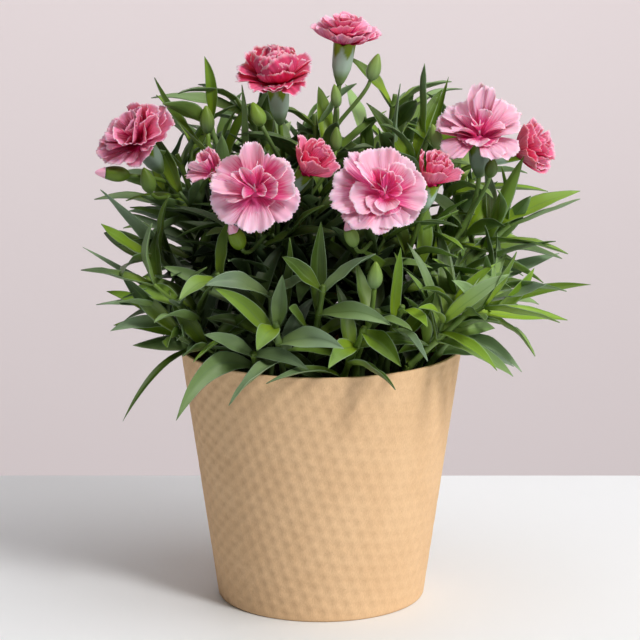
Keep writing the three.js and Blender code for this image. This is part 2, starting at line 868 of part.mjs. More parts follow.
// Half open blooms and buds have a slimmer calyx.
function calyxSize(head) {
  return head.kind === "full" ? 1 : 0.8;
}

// A bloom's middle lies a little above the mouth of its calyx.
function mouthOf(head) {
  const facing = vector(head.facing).normalize();
  const rise = head.kind === "full" ? 0.28 : 0.62;
  return vector(head.at).addScaledVector(facing, -head.radius * rise);
}

// ---- the plant ----

const green = { color: 0x4f7a3c, roughness: 0.55, metalness: 0 };
const pink = { color: 0xe88aa8, roughness: 0.6, metalness: 0 };

const pieces = []; // { name, solids, finish }, fused when all are placed
const taken = []; // { box, solid, owner }, what later leaves keep clear of
const grown = []; // stems that wait for their leaves

function take(solid, owner) {
  taken.push({ box: boxOf(solid), solid, owner });
  return solid;
}

// A leaf keeps clear of everything near it, and of its own stem and node from a little way out.
function isClear(blade, plant, node) {
  const whole = bladeSolid(blade, [leaf.foot, ...leaf.stations], leaf.clearance);
  const outer = bladeSolid(blade, [leaf.foot * 3, ...leaf.stations], leaf.clearance);
  const box = boxOf(whole);
  const hit = taken.some((other) => {
    const trial = other.owner === plant || other.owner === node ? outer : whole;
    return other.box.intersectsBox(box) && trial.intersect(other.solid).volume() > 0;
  });
  whole.delete();
  outer.delete();
  return !hit;
}

// Seats a leaf on one flat of a node if it is clear there and the flats beside it are bare.
function growLeaf(plant, node, flat, blade) {
  const seats = [flat, (flat + 1) % 4, (flat + 3) % 4];
  if (seats.some((seat) => node.leaves[seat]) || !isClear(blade, plant, node)) {
    return false;
  }
  const sections = bladeSections(blade, leaf.stations);
  node.leaves[flat] = {
    points: sections.flat(),
    facesOn: (seat, first) => bladeFaces(seat, first, sections.length, blade.roll),
  };
  take(bladeSolid(blade, [leaf.foot, ...leaf.stations]), node);
  return true;
}

// Keeps leaves off the pots' walls, out of the soil, and off the cover pot's front.
function guards() {
  const { topRadius, height, wall } = coverPot;
  const slope = (coverPot.topRadius - coverPot.baseRadius) / height;
  const low = soil.top - 20;
  const outside = topRadius + 1.2;
  const inside = nurseryPot.topRadius - nurseryPot.lip - nurseryPot.wall - 1;
  const ring = loft([
    ringAt(inside, low, 40),
    ringAt(outside - slope * (height - low), low, 40),
    ringAt(outside, height + 0.8, 40),
    ringAt(topRadius - wall - 1, height + 0.8, 40),
    ringAt(inside, nurseryPot.height + 0.8, 40),
    ringAt(inside, low + 0.01, 40),
  ]);
  const ground = loft([ringAt(inside, low, 40), ringAt(inside, soil.top + 3, 40)]);
  const { left, right, front, back } = apron;
  const corners = [[left, front], [right, front], [right, back], [left, back]];
  const level = (z) => corners.map(([x, y]) => new THREE.Vector3(x, y, z));
  return [ring, ground, loft([level(apron.low), level(apron.high)])];
}

guards().forEach((guard) => take(guard));

// Registers a stem. Its nodes are spread from one share of its length to another.
function plantStem(name, { root, pairs, reaching = [] }, curve, from, to, pointed) {
  const number = grown.length;
  const nodes = Array.from({ length: pairs }, (_, pair) => ({
    share: from + ((to - from) * pair) / Math.max(pairs - 1, 1),
    leaves: [],
  }));
  const turn = radians(-25 + 50 * scatter(number, 9));
  const piece = { name, solids: [], finish: green };
  const plant = { number, root, curve, turn, nodes, pointed, piece, reaching };
  take(leafyStemSolid(plant), plant);
  grown.push(plant);
  pieces.push(piece);
  return plant;
}

Object.entries(shoots).forEach(([place, shoot]) => {
  const end = vector(shoot.tip);
  const facing = end.clone().sub(new THREE.Vector3(...shoot.root, soil.top)).normalize();
  const curve = stemCurve(shoot.root, end, facing, 0.3);
  plantStem(`shoot_${place}`, shoot, curve, 0.32, 0.95, true);
});

Object.entries(flowering).forEach(([place, flower], seed) => {
  const { head } = flower;
  const facing = vector(head.facing).normalize();
  const size = calyxSize(head);
  const mouth = mouthOf(head);
  const isBud = head.kind === "bud";
  const budLength = head.radius * 3.8;
  const end = isBud
    ? vector(head.at).addScaledVector(facing, -budLength * 0.97)
    : mouth.clone().addScaledVector(facing, -calyx.length * size);
  const curve = stemCurve(flower.root, end, facing, 0.42);
  const { piece } = plantStem(`flower_stem_${place}`, flower, curve, 0.3, 0.74, false);
  const add = (solid) => piece.solids.push(take(solid));
  if (isBud) {
    add(loft(budRings(vector(head.at), facing, budLength, head.radius, 0, 1)));
  } else {
    add(calyxSolid(mouth, facing, size));
    const bloom = take(bloomSolid(head, seed + 1));
    pieces.push({ name: `bloom_${place}`, solids: [bloom], finish: pink });
  }
  flower.buds.forEach(([share, tip, way, length, radius, open], index) => {
    const budFacing = vector(way).normalize();
    const budEnd = vector(tip);
    const foot = budEnd.clone().addScaledVector(budFacing, -length * 0.97);
    const from = curve.getPoint(share);
    const reach = from.distanceTo(foot) * 0.4;
    const branch = new THREE.CubicBezierCurve3(
      from,
      from.clone().addScaledVector(curve.getTangent(share), reach),
      foot.clone().addScaledVector(budFacing, -reach),
      foot,
    );
    add(branchSolid(branch));
    const greenTo = open ? 0.7 : 1;
    add(loft(budRings(budEnd, budFacing, length, radius, 0, greenTo)));
    if (open) {
      const tipFrom = greenTo + gap / length;
      const tipSolid = loft(budRings(budEnd, budFacing, length, radius, tipFrom, 1));
      const name = `bud_tip_${place}_${index + 1}`;
      pieces.push({ name, solids: [take(tipSolid)], finish: pink });
    }
  });
});

// A leaf that reaches for a point sits on the flat that faces it best, at the first node from the
// given one down where that flat has room.
grown.forEach((plant) => {
  plant.reaching.forEach(([below, aim, lift, width, roll]) => {
    const tip = vector(aim);
    const lower = plant.nodes.slice(0, plant.nodes.length - below).reverse();
    lower.some((node) => {
      const frame = stemFrame(plant.curve, node.share, plant.turn);
      const direction = tip.clone().sub(frame.middle);
      const facing = frame.flats.map((flat) => flat.dot(direction));
      const flat = facing.indexOf(Math.max(...facing));
      return growLeaf(plant, node, flat, reachingBlade(frame, tip, lift, width, roll));
    });
  });
});

// Pairs are set crosswise, and the youngest, at the tip, are the shortest and steepest.
grown.forEach((plant) => {
  plant.nodes.forEach((node, pair) => {
    const age = 1 - pair / Math.max(plant.nodes.length - 1, 1);
    const frame = stemFrame(plant.curve, node.share, plant.turn);
    const first = node.leaves[1] || node.leaves[3] ? 1 : node.leaves.length ? 0 : pair % 2;
    [first, first + 2].forEach((flat) => {
      const seed = plant.number * 17 + pair * 4 + flat;
      const shape = {
        length: leaf.length * (0.72 + 0.34 * age + 0.24 * (scatter(seed, 1) - 0.5)),
        width: leaf.width * (0.8 + 0.3 * scatter(seed, 5)),
        roll: 80 * (scatter(seed, 7) - 0.5),
        opening: 26 + 22 * age + 10 * scatter(seed, 2),
        arch: 24 + 34 * scatter(seed, 3),
      };
      givings.some((giving) => growLeaf(plant, node, flat, ruledBlade(frame, flat, shape, giving)));
    });
  });
  plant.piece.solids.unshift(leafyStemSolid(plant));
});

// ---- the model ----

function addMesh(group, name, solid, finish) {
  const { vertProperties, triVerts } = solid.getMesh();
  const geometry = new THREE.BufferGeometry();
  geometry.setAttribute("position", new THREE.BufferAttribute(vertProperties, 3));
  geometry.setIndex(new THREE.BufferAttribute(triVerts, 1));
  geometry.computeVertexNormals();
  const mesh = new THREE.Mesh(geometry, new THREE.MeshStandardMaterial(finish));
  mesh.name = name;
  group.add(mesh);
}

const model = new THREE.Group();
const kraft = { color: 0xd5ab79, roughness: 0.85, metalness: 0 };
const plastic = { color: 0x241f1c, roughness: 0.5, metalness: 0 };
const peat = { color: 0x2e211a, roughness: 1, metalness: 0 };

addMesh(model, "cover_pot", coverPotSolid(), kraft);
addMesh(model, "nursery_pot", nurseryPotSolid(), plastic);
addMesh(model, "soil", soilSolid(grown), peat);
pieces.forEach(({ name, solids, finish }) => addMesh(model, name, fuse(solids), finish));

export default model;
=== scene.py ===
import math

import bpy
import numpy as np
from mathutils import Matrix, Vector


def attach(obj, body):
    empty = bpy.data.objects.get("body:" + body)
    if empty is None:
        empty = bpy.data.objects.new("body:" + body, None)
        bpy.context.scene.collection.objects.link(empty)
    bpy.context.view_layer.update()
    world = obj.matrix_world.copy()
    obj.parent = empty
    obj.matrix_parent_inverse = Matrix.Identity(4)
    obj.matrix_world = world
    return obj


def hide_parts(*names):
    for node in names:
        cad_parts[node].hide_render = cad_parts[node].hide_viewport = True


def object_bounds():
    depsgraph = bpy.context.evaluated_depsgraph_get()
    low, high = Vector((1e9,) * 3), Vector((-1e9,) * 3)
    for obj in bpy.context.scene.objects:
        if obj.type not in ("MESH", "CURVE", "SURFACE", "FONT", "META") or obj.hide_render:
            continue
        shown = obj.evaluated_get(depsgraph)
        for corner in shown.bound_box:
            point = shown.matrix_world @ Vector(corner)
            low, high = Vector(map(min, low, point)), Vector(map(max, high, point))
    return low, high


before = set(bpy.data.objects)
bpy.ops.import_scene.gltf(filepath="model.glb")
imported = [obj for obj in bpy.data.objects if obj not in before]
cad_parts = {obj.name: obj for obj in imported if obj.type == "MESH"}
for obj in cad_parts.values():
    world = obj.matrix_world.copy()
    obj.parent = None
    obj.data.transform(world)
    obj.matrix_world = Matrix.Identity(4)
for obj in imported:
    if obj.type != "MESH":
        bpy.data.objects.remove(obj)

# A dianthus in its nursery pot, set in an embossed kraft paper cover pot. Shapes are worked out in
# millimetres and written in metres. -Y is the front.
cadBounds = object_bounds()
viewHeight = math.radians(13.2)  # how far above level the plant is looked at from
print("frame loaded:", len(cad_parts), "nodes")


def scatter(a, b):
    value = math.sin(a * 12.9898 + b * 78.233) * 43758.5453
    return value - math.floor(value)


def unit(vectors):
    vectors = np.asarray(vectors, float)
    return vectors / np.linalg.norm(vectors, axis=-1, keepdims=True)


def dots(a, b):
    return np.sum(a * b, axis=-1, keepdims=True)


# A direction between two others, at an angle from the first.
def turned(first, second, angle):
    return first * math.cos(angle) + second * math.sin(angle)


# Even steps round a circle.
def evenTurns(count):
    return np.linspace(0, 2 * math.pi, count, endpoint=False)


def smoothStep(low, high, value):
    share = np.clip((value - low) / (high - low), 0, 1)
    return share * share * (3 - 2 * share)


# A skin gathers points, triangles and one number per point for each of its masks.
def newSkin(*maskNames):
    return {"points": [], "faces": [], "count": 0, "masks": {name: [] for name in maskNames}}


def addPoints(skin, points, values):
    points = np.asarray(points, float)
    flat = points.reshape(-1, 3)
    index = skin["count"] + np.arange(len(flat)).reshape(points.shape[:-1])
    skin["points"].append(flat)
    skin["count"] += len(flat)
    for name, kept in skin["masks"].items():
        kept.append(np.broadcast_to(values.get(name, 0.0), points.shape[:-1]).ravel())
    return index


def addFaces(skin, a, b, c, d=None):
    skin["faces"].append(np.stack([np.ravel(corner) for corner in (a, b, c)], 1))
    if d is not None:
        addFaces(skin, a, c, d)


# Rings of points, each turning counter-clockwise about the way the rings follow each other. The
# first and the last are closed by a fan.
def addLoft(skin, rings, values):
    index = addPoints(skin, rings, values)
    ahead = np.roll(index, -1, axis=1)
    addFaces(skin, index[:-1], ahead[:-1], ahead[1:], index[1:])
    spread = {name: np.broadcast_to(value, index.shape) for name, value in values.items()}
    for row, first, second in ((0, ahead[0], index[0]), (-1, index[-1], ahead[-1])):
        fanValues = {name: value[row].mean() for name, value in spread.items()}
        middle = addPoints(skin, rings[row].mean(axis=0)[None], fanValues)
        addFaces(skin, np.broadcast_to(middle, first.shape), first, second)


# A thin sheet: a grid of points for its upper face and one for its lower face, sewn round the edge.
# Rows run along the sheet, and columns from its left to its right.
def addSheet(skin, upper, lower, values):
    top = addPoints(skin, upper, {**values, "under": 0.0})
    low = addPoints(skin, lower, {**values, "under": 1.0})
    addFaces(skin, top[:-1, :-1], top[:-1, 1:], top[1:, 1:], top[1:, :-1])
    addFaces(skin, low[:-1, :-1], low[1:, :-1], low[1:, 1:], low[:-1, 1:])
    addFaces(skin, low[0, :-1], low[0, 1:], top[0, 1:], top[0, :-1])
    addFaces(skin, low[:-1, -1], low[1:, -1], top[1:, -1], top[:-1, -1])
    addFaces(skin, low[-1, 1:], low[-1, :-1], top[-1, :-1], top[-1, 1:])
    addFaces(skin, low[1:, 0], low[:-1, 0], top[:-1, 0], top[1:, 0])


def finishPiece(name, skin, material, nodes):
    points = np.concatenate(skin["points"]) * 0.001
    faces = np.concatenate(skin["faces"])
    mesh = bpy.data.meshes.new(name)
    mesh.vertices.add(len(points))
    mesh.vertices.foreach_set("co", points.astype(np.float32).ravel())
    mesh.loops.add(faces.size)
    mesh.loops.foreach_set("vertex_index", faces.astype(np.int32).ravel())
    mesh.polygons.add(len(faces))
    mesh.polygons.foreach_set("loop_start", np.arange(0, faces.size, 3, dtype=np.int32))
    mesh.polygons.foreach_set("use_smooth", np.ones(len(faces), dtype=bool))
    mesh.update(calc_edges=True)
    for maskName, kept in skin["masks"].items():
        layer = mesh.attributes.new(maskName, "FLOAT", "POINT")
        layer.data.foreach_set("value", np.concatenate(kept).astype(np.float32))
    piece = bpy.data.objects.new(name, mesh)
    bpy.context.scene.collection.objects.link(piece)
    mesh.materials.append(material)
    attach(piece, "root")
    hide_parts(*nodes)


# Sockets are linked and plain values are set, by the name or number of the input.
def setInputs(tree, node, inputs):
    for key, value in inputs.items():
        if isinstance(value, bpy.types.NodeSocket):
            tree.links.new(value, node.inputs[key])
        else:
            node.inputs[key].default_value = value


def addNode(tree, kind, inputs=None, **settings):
    node = tree.nodes.new(kind)
    for key, value in settings.items():
        setattr(node, key, value)
    setInputs(tree, node, inputs or {})
    return node


# Plain colours are given without an alpha.
def mixColour(tree, factor, a, b, blend="MIX"):
    a, b = [(*colour, 1) if isinstance(colour, tuple) else colour for colour in (a, b)]
    inputs = {0: factor, 6: a, 7: b}
    return addNode(tree, "ShaderNodeMix", inputs, data_type="RGBA", blend_type=blend).outputs[2]


def calculate(tree, operation, a, b=0.0, c=0.0):
    return addNode(tree, "ShaderNodeMath", {0: a, 1: b, 2: c}, operation=operation).outputs[0]


def times(tree, a, b):
    return calculate(tree, "MULTIPLY", a, b)


def remap(tree, value, low, high, toLow=0.0, toHigh=1.0):
    inputs = {"Value": value, 1: low, 2: high, 3: toLow, 4: toHigh}
    return addNode(tree, "ShaderNodeMapRange", inputs, interpolation_type="SMOOTHSTEP").outputs[0]


def mask(tree, name):
    return addNode(tree, "ShaderNodeAttribute", attribute_name=name).outputs["Fac"]


def objectPlace(tree):
    return addNode(tree, "ShaderNodeTexCoord").outputs["Object"]


def noise(tree, vector, scale, detail=3.0, roughness=0.5):
    inputs = {"Vector": vector, "Scale": scale, "Detail": detail, "Roughness": roughness}
    return addNode(tree, "ShaderNodeTexNoise", inputs).outputs["Fac"]


def bumpOf(tree, height, strength, distance):
    inputs = {"Strength": strength, "Distance": distance, "Height": height}
    return addNode(tree, "ShaderNodeBump", inputs).outputs[0]


def newMaterial(name):
    material = bpy.data.materials.new(name)
    material.use_nodes = True
    tree = material.node_tree
    return material, tree, tree.nodes["Principled BSDF"]


# The paper cover pot. Its embossing has pits in three directions, and squareAt is where round the
# pot, in degrees, one of them runs level.
coverPot = {
    "topRadius": 65,
    "baseRadius": 48,
    "height": 119,
    "wall": 1.5,
    "floor": 1.8,
    "corner": 1,
    "columns": 420,
    "rows": 118,
    "insideRows": 14,
    "pitch": 6.6,
    "pitDepth": 0.44,
    "pitBand": (-1.5, 2.6),
    "squareAt": 17,
    "paper": [(0.835, 0.56, 0.32), (0.875, 0.595, 0.345)],
    "fibre": (0.86, 0.83, 0.8),
    "fleck": (0.3, 0.17, 0.08),
    "pitShade": (0.36, 0.2, 0.09),
    # painted shade: a deep brown for the shaded inside of the wall
    "inside": (0.3, 0.12, 0.06),
}
potSlope = (coverPot["topRadius"] - coverPot["baseRadius"]) / coverPot["height"]


# How deep the embossing is, from 0 to 1, on the flat sheet that the wall is rolled from.
def embossing(angle, height):
    lean = math.sin(math.atan(potSlope))
    reach = (coverPot["baseRadius"] + potSlope * height) / lean
    around = (angle - math.radians(coverPot["squareAt"] - 90)) * lean
    across, down = reach * np.sin(around), reach * np.cos(around)
    rows = 0
    for turn in (0, 60, 120):
        way = math.radians(turn)
        row = across * math.sin(way) + down * math.cos(way)
        rows = rows + np.cos(2 * math.pi * row / (coverPot["pitch"] * math.sqrt(0.75)))
    return smoothStep(*coverPot["pitBand"], rows)


def lathe(profile, columns):
    angle = evenTurns(columns)
    profile = np.asarray(profile, float)
    radius, height = profile[:, :1], profile[:, 1:]
    flatHeight = np.broadcast_to(height, (len(profile), columns))
    return np.stack([radius * np.cos(angle), radius * np.sin(angle), flatHeight], -1)


def kraftMaterial():
    material, tree, shader = newMaterial("kraft paper")
    place = objectPlace(tree)
    stretched = addNode(tree, "ShaderNodeMapping", {"Vector": place, "Scale": (1, 1, 0.25)})
    fibres = noise(tree, stretched.outputs[0], 2600.0, 4.0, 0.65)
    cloud = remap(tree, noise(tree, place, 60.0), 0.35, 0.65)
    fleck = remap(tree, noise(tree, place, 1500.0, 2.0, 0.7), 0.66, 0.74)
    fibre = mixColour(tree, remap(tree, fibres, 0.38, 0.62), coverPot["fibre"], (1, 1, 1))
    paper = mixColour(tree, 0.6, mixColour(tree, cloud, *coverPot["paper"]), fibre, "MULTIPLY")
    speckled = mixColour(tree, times(tree, fleck, 0.35), paper, coverPot["fleck"])
    pitted = mixColour(tree, times(tree, mask(tree, "pit"), 0.04), speckled, coverPot["pitShade"])
    # Painted shade over the whole inside face of the pot.
    colour = mixColour(tree, mask(tree, "inner"), pitted, coverPot["inside"])
    bump = bumpOf(tree, fibres, 0.12, 0.0004)
    setInputs(tree, shader, {"Base Color": colour, "Roughness": 0.82, "Normal": bump, "IOR": 1.4})
    return material


# One closed skin: under the floor, up the embossed wall, over the rim and down inside.
def buildCoverPot():
    skin = newSkin("pit", "inner")
    columns, wall, floor = coverPot["columns"], coverPot["wall"], coverPot["floor"]
    top, base, height = coverPot["topRadius"], coverPot["baseRadius"], coverPot["height"]
    angle = evenTurns(columns)[None]
    level = np.linspace(coverPot["corner"], height - 0.35, coverPot["rows"])[:, None]
    pit = embossing(angle, level) * smoothStep(0, 3, level) * smoothStep(0, 2.5, height - level)
    radius = base + potSlope * level - coverPot["pitDepth"] * pit
    flatLevel = np.broadcast_to(level, radius.shape)
    outside = np.stack([radius * np.cos(angle), radius * np.sin(angle), flatLevel], -1)
    under = lathe([(3, 0), (base - 3, 0), (base - 0.9, 0), (base - 0.3, 0.3)], columns)
    innerTop, innerBase = top - wall, base + potSlope * floor - wall
    profile = [(top - 0.2, height - 0.06), (top - 0.45, height)]
    profile += [(innerTop + 0.3, height), (innerTop + 0.05, height - 0.15)]
    for share in np.linspace(0.02, 1, coverPot["insideRows"]):
        inner = innerTop + share * (innerBase - top + wall)
        profile.append((inner, height + share * (floor - height)))
    profile.append((3, floor))
    rings = np.concatenate([under, outside, lathe(profile, columns)])
    pits, inside = np.zeros(rings.shape[:2]), np.zeros(rings.shape[:2])
    pits[len(under) : len(under) + len(outside)] = pit
    inside[-coverPot["insideRows"] - 1 :] = 1
    addLoft(skin, rings, {"pit": pits, "inner": inside})
    finishPiece("cover_pot_paper", skin, kraftMaterial(), ["cover_pot"])


buildCoverPot()
print("cover pot built")

# The nursery pot keeps its solid, and the peat fills it.
nurseryPot = {
    "top": 58.5,
    "base": 43,
    "height": 107,
    "wall": 0.8,
    "lip": 1.7,
    "plastic": [(0.012, 0.011, 0.01), (0.03, 0.026, 0.022)],
}


def plasticMaterial():
    material, tree, shader = newMaterial("nursery plastic")
    grain = noise(tree, objectPlace(tree), 900.0)
    colour = mixColour(tree, grain, *nurseryPot["plastic"])
    roughness = remap(tree, grain, 0.3, 0.7, 0.4, 0.6)
    setInputs(tree, shader, {"Base Color": colour, "Roughness": roughness})
    return material


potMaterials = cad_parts["nursery_pot"].data.materials
potMaterials.clear()
potMaterials.append(plasticMaterial())

soil = {
    "top": 100,
    "bottom": 3.2,
    "shoulder": 98,
    "gap": 1.1,
    "columns": 160,
    "rings": 44,
    "bumps": 14,
    "crumb": [(0.012, 0.007, 0.005), (0.06, 0.035, 0.02)],
    "fibre": (0.14, 0.09, 0.05),
}


def peatMaterial():
    material, tree, shader = newMaterial("peat mix")
    place = objectPlace(tree)
    crumbs = noise(tree, place, 420.0, 5.0, 0.65)
    fibres = remap(tree, noise(tree, place, 1600.0), 0.66, 0.8)
    dark = mixColour(tree, remap(tree, crumbs, 0.35, 0.65), *soil["crumb"])
    colour = mixColour(tree, fibres, dark, soil["fibre"])
    bump = bumpOf(tree, crumbs, 0.8, 0.001)
    setInputs(tree, shader, {"Base Color": colour, "Roughness": 0.95, "Normal": bump})
    return material


def buildSoil():
    skin = newSkin()
    columns, low, shoulder = soil["columns"], soil["bottom"], soil["shoulder"]
    inside = nurseryPot["top"] - nurseryPot["lip"] - nurseryPot["wall"]
    slope = (inside + nurseryPot["wall"] - nurseryPot["base"]) / (nurseryPot["height"] - 2)

    def edge(level):
        return nurseryPot["base"] - nurseryPot["wall"] + slope * (level - 2) - soil["gap"]

    sides = lathe([(2, low), (edge(low), low), (edge(shoulder) - 0.3, shoulder + 0.2)], columns)
    reach = np.linspace(0.985, 0.03, soil["rings"]) * edge(soil["top"])
    angle = evenTurns(columns)[None]
    x, y = reach[:, None] * np.cos(angle), reach[:, None] * np.sin(angle)
    bumps = 0.0
    for wave in range(soil["bumps"]):
        size, way = 0.08 * 1.26**wave, wave * 2.4
        swing = np.sin((x * math.cos(way) + y * math.sin(way)) * size + wave * 1.7)
        cross = np.sin((x * math.sin(way) - y * math.cos(way)) * size * 1.3 + wave)
        bumps = bumps + swing * cross * 0.25
    ground = np.stack([x, y, soil["top"] - 0.3 + np.clip(bumps, -1, 0.7)], -1)
    addLoft(skin, np.concatenate([sides, ground]), {})
    finishPiece("soil_peat", skin, peatMaterial(), ["soil"])


buildSoil()
print("soil built")


# What a leafy CAD node holds: its welded points, and which of them are joined.
def readNode(name):
    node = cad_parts[name]
    mesh = node.data
    places = np.empty(len(mesh.vertices) * 3, np.float32)
    mesh.vertices.foreach_get("co", places)
    corners = np.empty(len(mesh.loops), np.int32)
    mesh.loops.foreach_get("vertex_index", corners)
    points, index = np.unique(places.reshape(-1, 3), axis=0, return_inverse=True)
    toWorld = np.array(node.matrix_world)
    points = (points @ toWorld[:3, :3].T + toWorld[:3, 3]) * 1000
    joined = [set() for _ in points]
    for a, b, c in index.reshape(-1)[corners].reshape(-1, 3).tolist():
        joined[a].update((b, c))
        joined[b].update((a, c))
        joined[c].update((a, b))
    return points, joined


# How wide a blade of the CAD model is along its length, and where its sections stand.
def bladeWidth(share):
    return (1 - share**3) * (0.3 + 0.78 * np.sin(math.pi * share))


bladeStations = (0.79, 0.5, 0.22)


# A point along the arc from a leaf's foot to its tip.
def arc(foot, bend, tip, share):
    return (1 - share) ** 2 * foot + 2 * share * (1 - share) * bend + share**2 * tip


# A blade ends in a point where three corners meet, and has three more sections of three corners.
def readLeaf(points, joined, tip):
    rings = []
    seen = {tip}
    ahead = set(joined[tip])
    while len(rings) < 3 and len(ahead) == 3:
        rings.append(sorted(ahead))
        seen |= ahead
        ahead = set().union(*(joined[corner] for corner in rings[-1])) - seen
    if len(rings) != 3 or len(ahead) != 4:
        return None
    one, two, three = rings[0]
    if two not in joined[one] or three not in joined[one] or three not in joined[two]:
        return None
    middles, sideways, widths = [], [], []
    for ring in rings:
        corners = points[ring]
        spans = [np.linalg.norm(corners[(k + 1) % 3] - corners[(k + 2) % 3]) for k in range(3)]
        keel = int(np.argmax(spans))
        left, right = corners[(keel + 1) % 3], corners[(keel + 2) % 3]
        middles.append((left + right) / 2)
        sideways.append((right - left, corners[keel] - (left + right) / 2))
        widths.append(spans[keel])
    shares = np.array(bladeStations)
    known = np.array(middles) - (shares**2)[:, None] * points[tip]
    spread = np.stack([(1 - shares) ** 2, 2 * shares * (1 - shares)], 1)
    foot, bend = np.linalg.lstsq(spread, known, rcond=None)[0]
    ways = []
    for share, (across, under) in zip(bladeStations, sideways):
        along = unit(2 * (1 - share) * (bend - foot) + 2 * share * (points[tip] - bend))
        across = across if np.dot(under, np.cross(across, along)) > 0 else -across
        ways.append(unit(across))
    return {
        "foot": foot,
        "bend": bend,
        "tip": points[tip],
        "ways": ways[::-1],
        "width": widths[1] / bladeWidth(0.5),
        "used": seen,
    }


def readLeaves(points, joined):
    leaves = []
    for tip, ring in enumerate(joined):
        leaf = readLeaf(points, joined, tip) if len(ring) == 3 else None
        if leaf:
            leaves.append(leaf)
    return leaves


# The middle line of a shoot, from its lowest ring of four corners to its tip.
def readStem(points, joined, leaves):
    seen = set().union(*(leaf["used"] for leaf in leaves))
    ring = set(np.argsort(points[:, 2])[:4].tolist())
    middles = []
    while ring:
        middles.append(points[sorted(ring)].mean(axis=0))
        seen |= ring
        ring = set().union(*(joined[corner] for corner in ring)) - seen
    return np.array(middles)


# A smooth line through points, with some steps between each two.
def smoothLine(points, steps):
    padded = np.concatenate([points[:1] * 2 - points[1:2], points, points[-1:] * 2 - points[-2:-1]])
    line = []
    for number in range(len(points) - 1):
        a, b, c, d = padded[number : number + 4]
        for step in range(steps):
            t = step / steps
            bend = (2 * a - 5 * b + 4 * c - d) * t**2
            line.append(0.5 * (2 * b + (c - a) * t + bend + (3 * b - 3 * c + d - a) * t**3))
    return np.array(line + [points[-1]])


def bezier(corners, count):
    t = np.linspace(0, 1, count)[:, None]
    a, b, c, d = corners
    return (1 - t) ** 3 * a + 3 * t * (1 - t) ** 2 * b + 3 * t**2 * (1 - t) * c + t**3 * d


# A round tube about a line, with a radius at each of its points.
def tubeRings(line, radii, sides):
    along = unit(np.gradient(line, axis=0))
    side = np.cross(along[0], (0.3, 0.9, 0.1))
    angle = evenTurns(sides)[:, None]
    rings = []
    for middle, way, radius in zip(line, along, radii):
        side = unit(side - np.dot(side, way) * way)
        other = np.cross(way, side)
        rings.append(middle + radius * (np.cos(angle) * side + np.sin(angle) * other))
    return np.array(rings)


# The fine outline: a long even strap on a narrower foot, rounded off to a short point.
def strapWidth(share):
    foot = 0.36 + 0.64 * np.sin(0.5 * math.pi * np.minimum(share / 0.42, 1))
    return foot * (1 - np.maximum((share - 0.33) / 0.67, 0) ** 2.1)


blade = {
    "rows": 17,
    "columns": 9,
    "thickness": 0.5,
    "fold": 0.42,
    "fullness": 0.96,
    "wave": 0.09,
    "ripple": 0.035,
    "groove": 0.12,
    "keel": 0.22,
}


# Painted shade for the dark inside of the plant: its middle, how far it reaches sideways and
# upwards, and between which shares of that it fades.
paintedShadeZone = {"middle": (-16, 2, 152), "reach": 92, "rise": 80, "fade": (0.46, 0.92)}


# How much painted shade a point gets: 0 near the plant's outside, up to 1 about its middle.
def paintedShadeAt(points):
    x, y, z = paintedShadeZone["middle"]
    away = np.hypot(points[..., 0] - x, points[..., 1] - y) / paintedShadeZone["reach"]
    up = (points[..., 2] - z) / paintedShadeZone["rise"]
    return 1 - smoothStep(*paintedShadeZone["fade"], np.hypot(away, up))


# One fine leaf: a folded, slightly wavy blade along its line.
def addLeaf(skin, leaf, seed, rows=blade["rows"], columns=blade["columns"]):
    share = np.linspace(0, 0.995, rows)[:, None]
    foot, bend, tip = leaf["foot"], leaf["bend"], leaf["tip"]
    middle = arc(foot, bend, tip, share)
    along = unit((1 - share) * (bend - foot) + share * (tip - bend))
    low, half, high = leaf["ways"]
    early = low + (low - half) * 0.79
    spots = [0, *bladeStations[::-1], 1]
    ways = np.array([early, low, half, high, high]).T
    across = np.stack([np.interp(share[:, 0], spots, way) for way in ways], 1)
    across = unit(across - dots(across, along) * along)
    upper = np.cross(along, across)
    side = np.cos(np.linspace(math.pi, 0, columns))[None]
    width = leaf["width"] / 2 * blade["fullness"] * strapWidth(share)
    wave = blade["wave"] * np.sin(share * (7 + 5 * scatter(seed, 1)) + 6 * scatter(seed, 2) + side)
    wave = wave + blade["ripple"] * np.sin(share * 23 + 6 * scatter(seed, 3)) * side
    rise = width * (blade["fold"] * (np.abs(side) ** 1.35 - 1) + wave * smoothStep(0, 0.3, share))
    groove = -blade["groove"] * np.exp(-((side / 0.12) ** 2))
    top = middle[:, None] + across[:, None] * (width * side)[..., None]
    top = top + upper[:, None] * (rise + groove)[..., None]
    thick = blade["thickness"] * (1.25 - 0.75 * share) * (0.25 + 0.75 * np.sqrt(1 - side**2))
    keel = blade["keel"] * np.exp(-((side / 0.2) ** 2)) * (1 - share)
    under = top - upper[:, None] * (thick + keel)[..., None]
    # Painted shade: leaves on the left, and any leaf given its own shade, are darkened.
    shade = leaf.get("shade", 0.2 * smoothStep(-30, -60, top[..., 0]))  # darker on the left
    values = {
        "along": share,
        "side": side,
        "tint": scatter(seed, 11),
        "youth": leaf.get("youth", 0.0),
        "paintedShade": np.maximum(paintedShadeAt(top), shade),
        "wax": leaf.get("wax", 0.0),
    }
    addSheet(skin, top, under, values)


# Main stems start deep in the soil and are free above it.
stem = {
    "radius": 1.6,
    "taper": 0.3,
    "sides": 10,
    "knot": 1.7,
    "swelling": 0.4,
    "deep": 91,
    "free": 102,
}


def addStem(skin, line, radius, taper, nodes, seed):
    radii = radius * (1 - taper * np.linspace(0, 1, len(line)))
    swell = np.zeros(len(line))
    for node in nodes:
        distance = np.linalg.norm(line - node, axis=1)
        swell = np.maximum(swell, np.exp(-((distance / stem["knot"]) ** 2)))
    rings = tubeRings(line, radii * (1 + stem["swelling"] * swell), stem["sides"])
    values = {
        "along": 0.35,
        "side": 0.5,
        "tint": scatter(seed, 5),
        "youth": (0.25 + 0.6 * swell)[:, None],
        "under": 1.0,
        "stem": 1.0,
        # Painted shade: stems deep in the plant are darkened.
        "paintedShade": paintedShadeAt(rings),
    }
    addLoft(skin, rings, values)
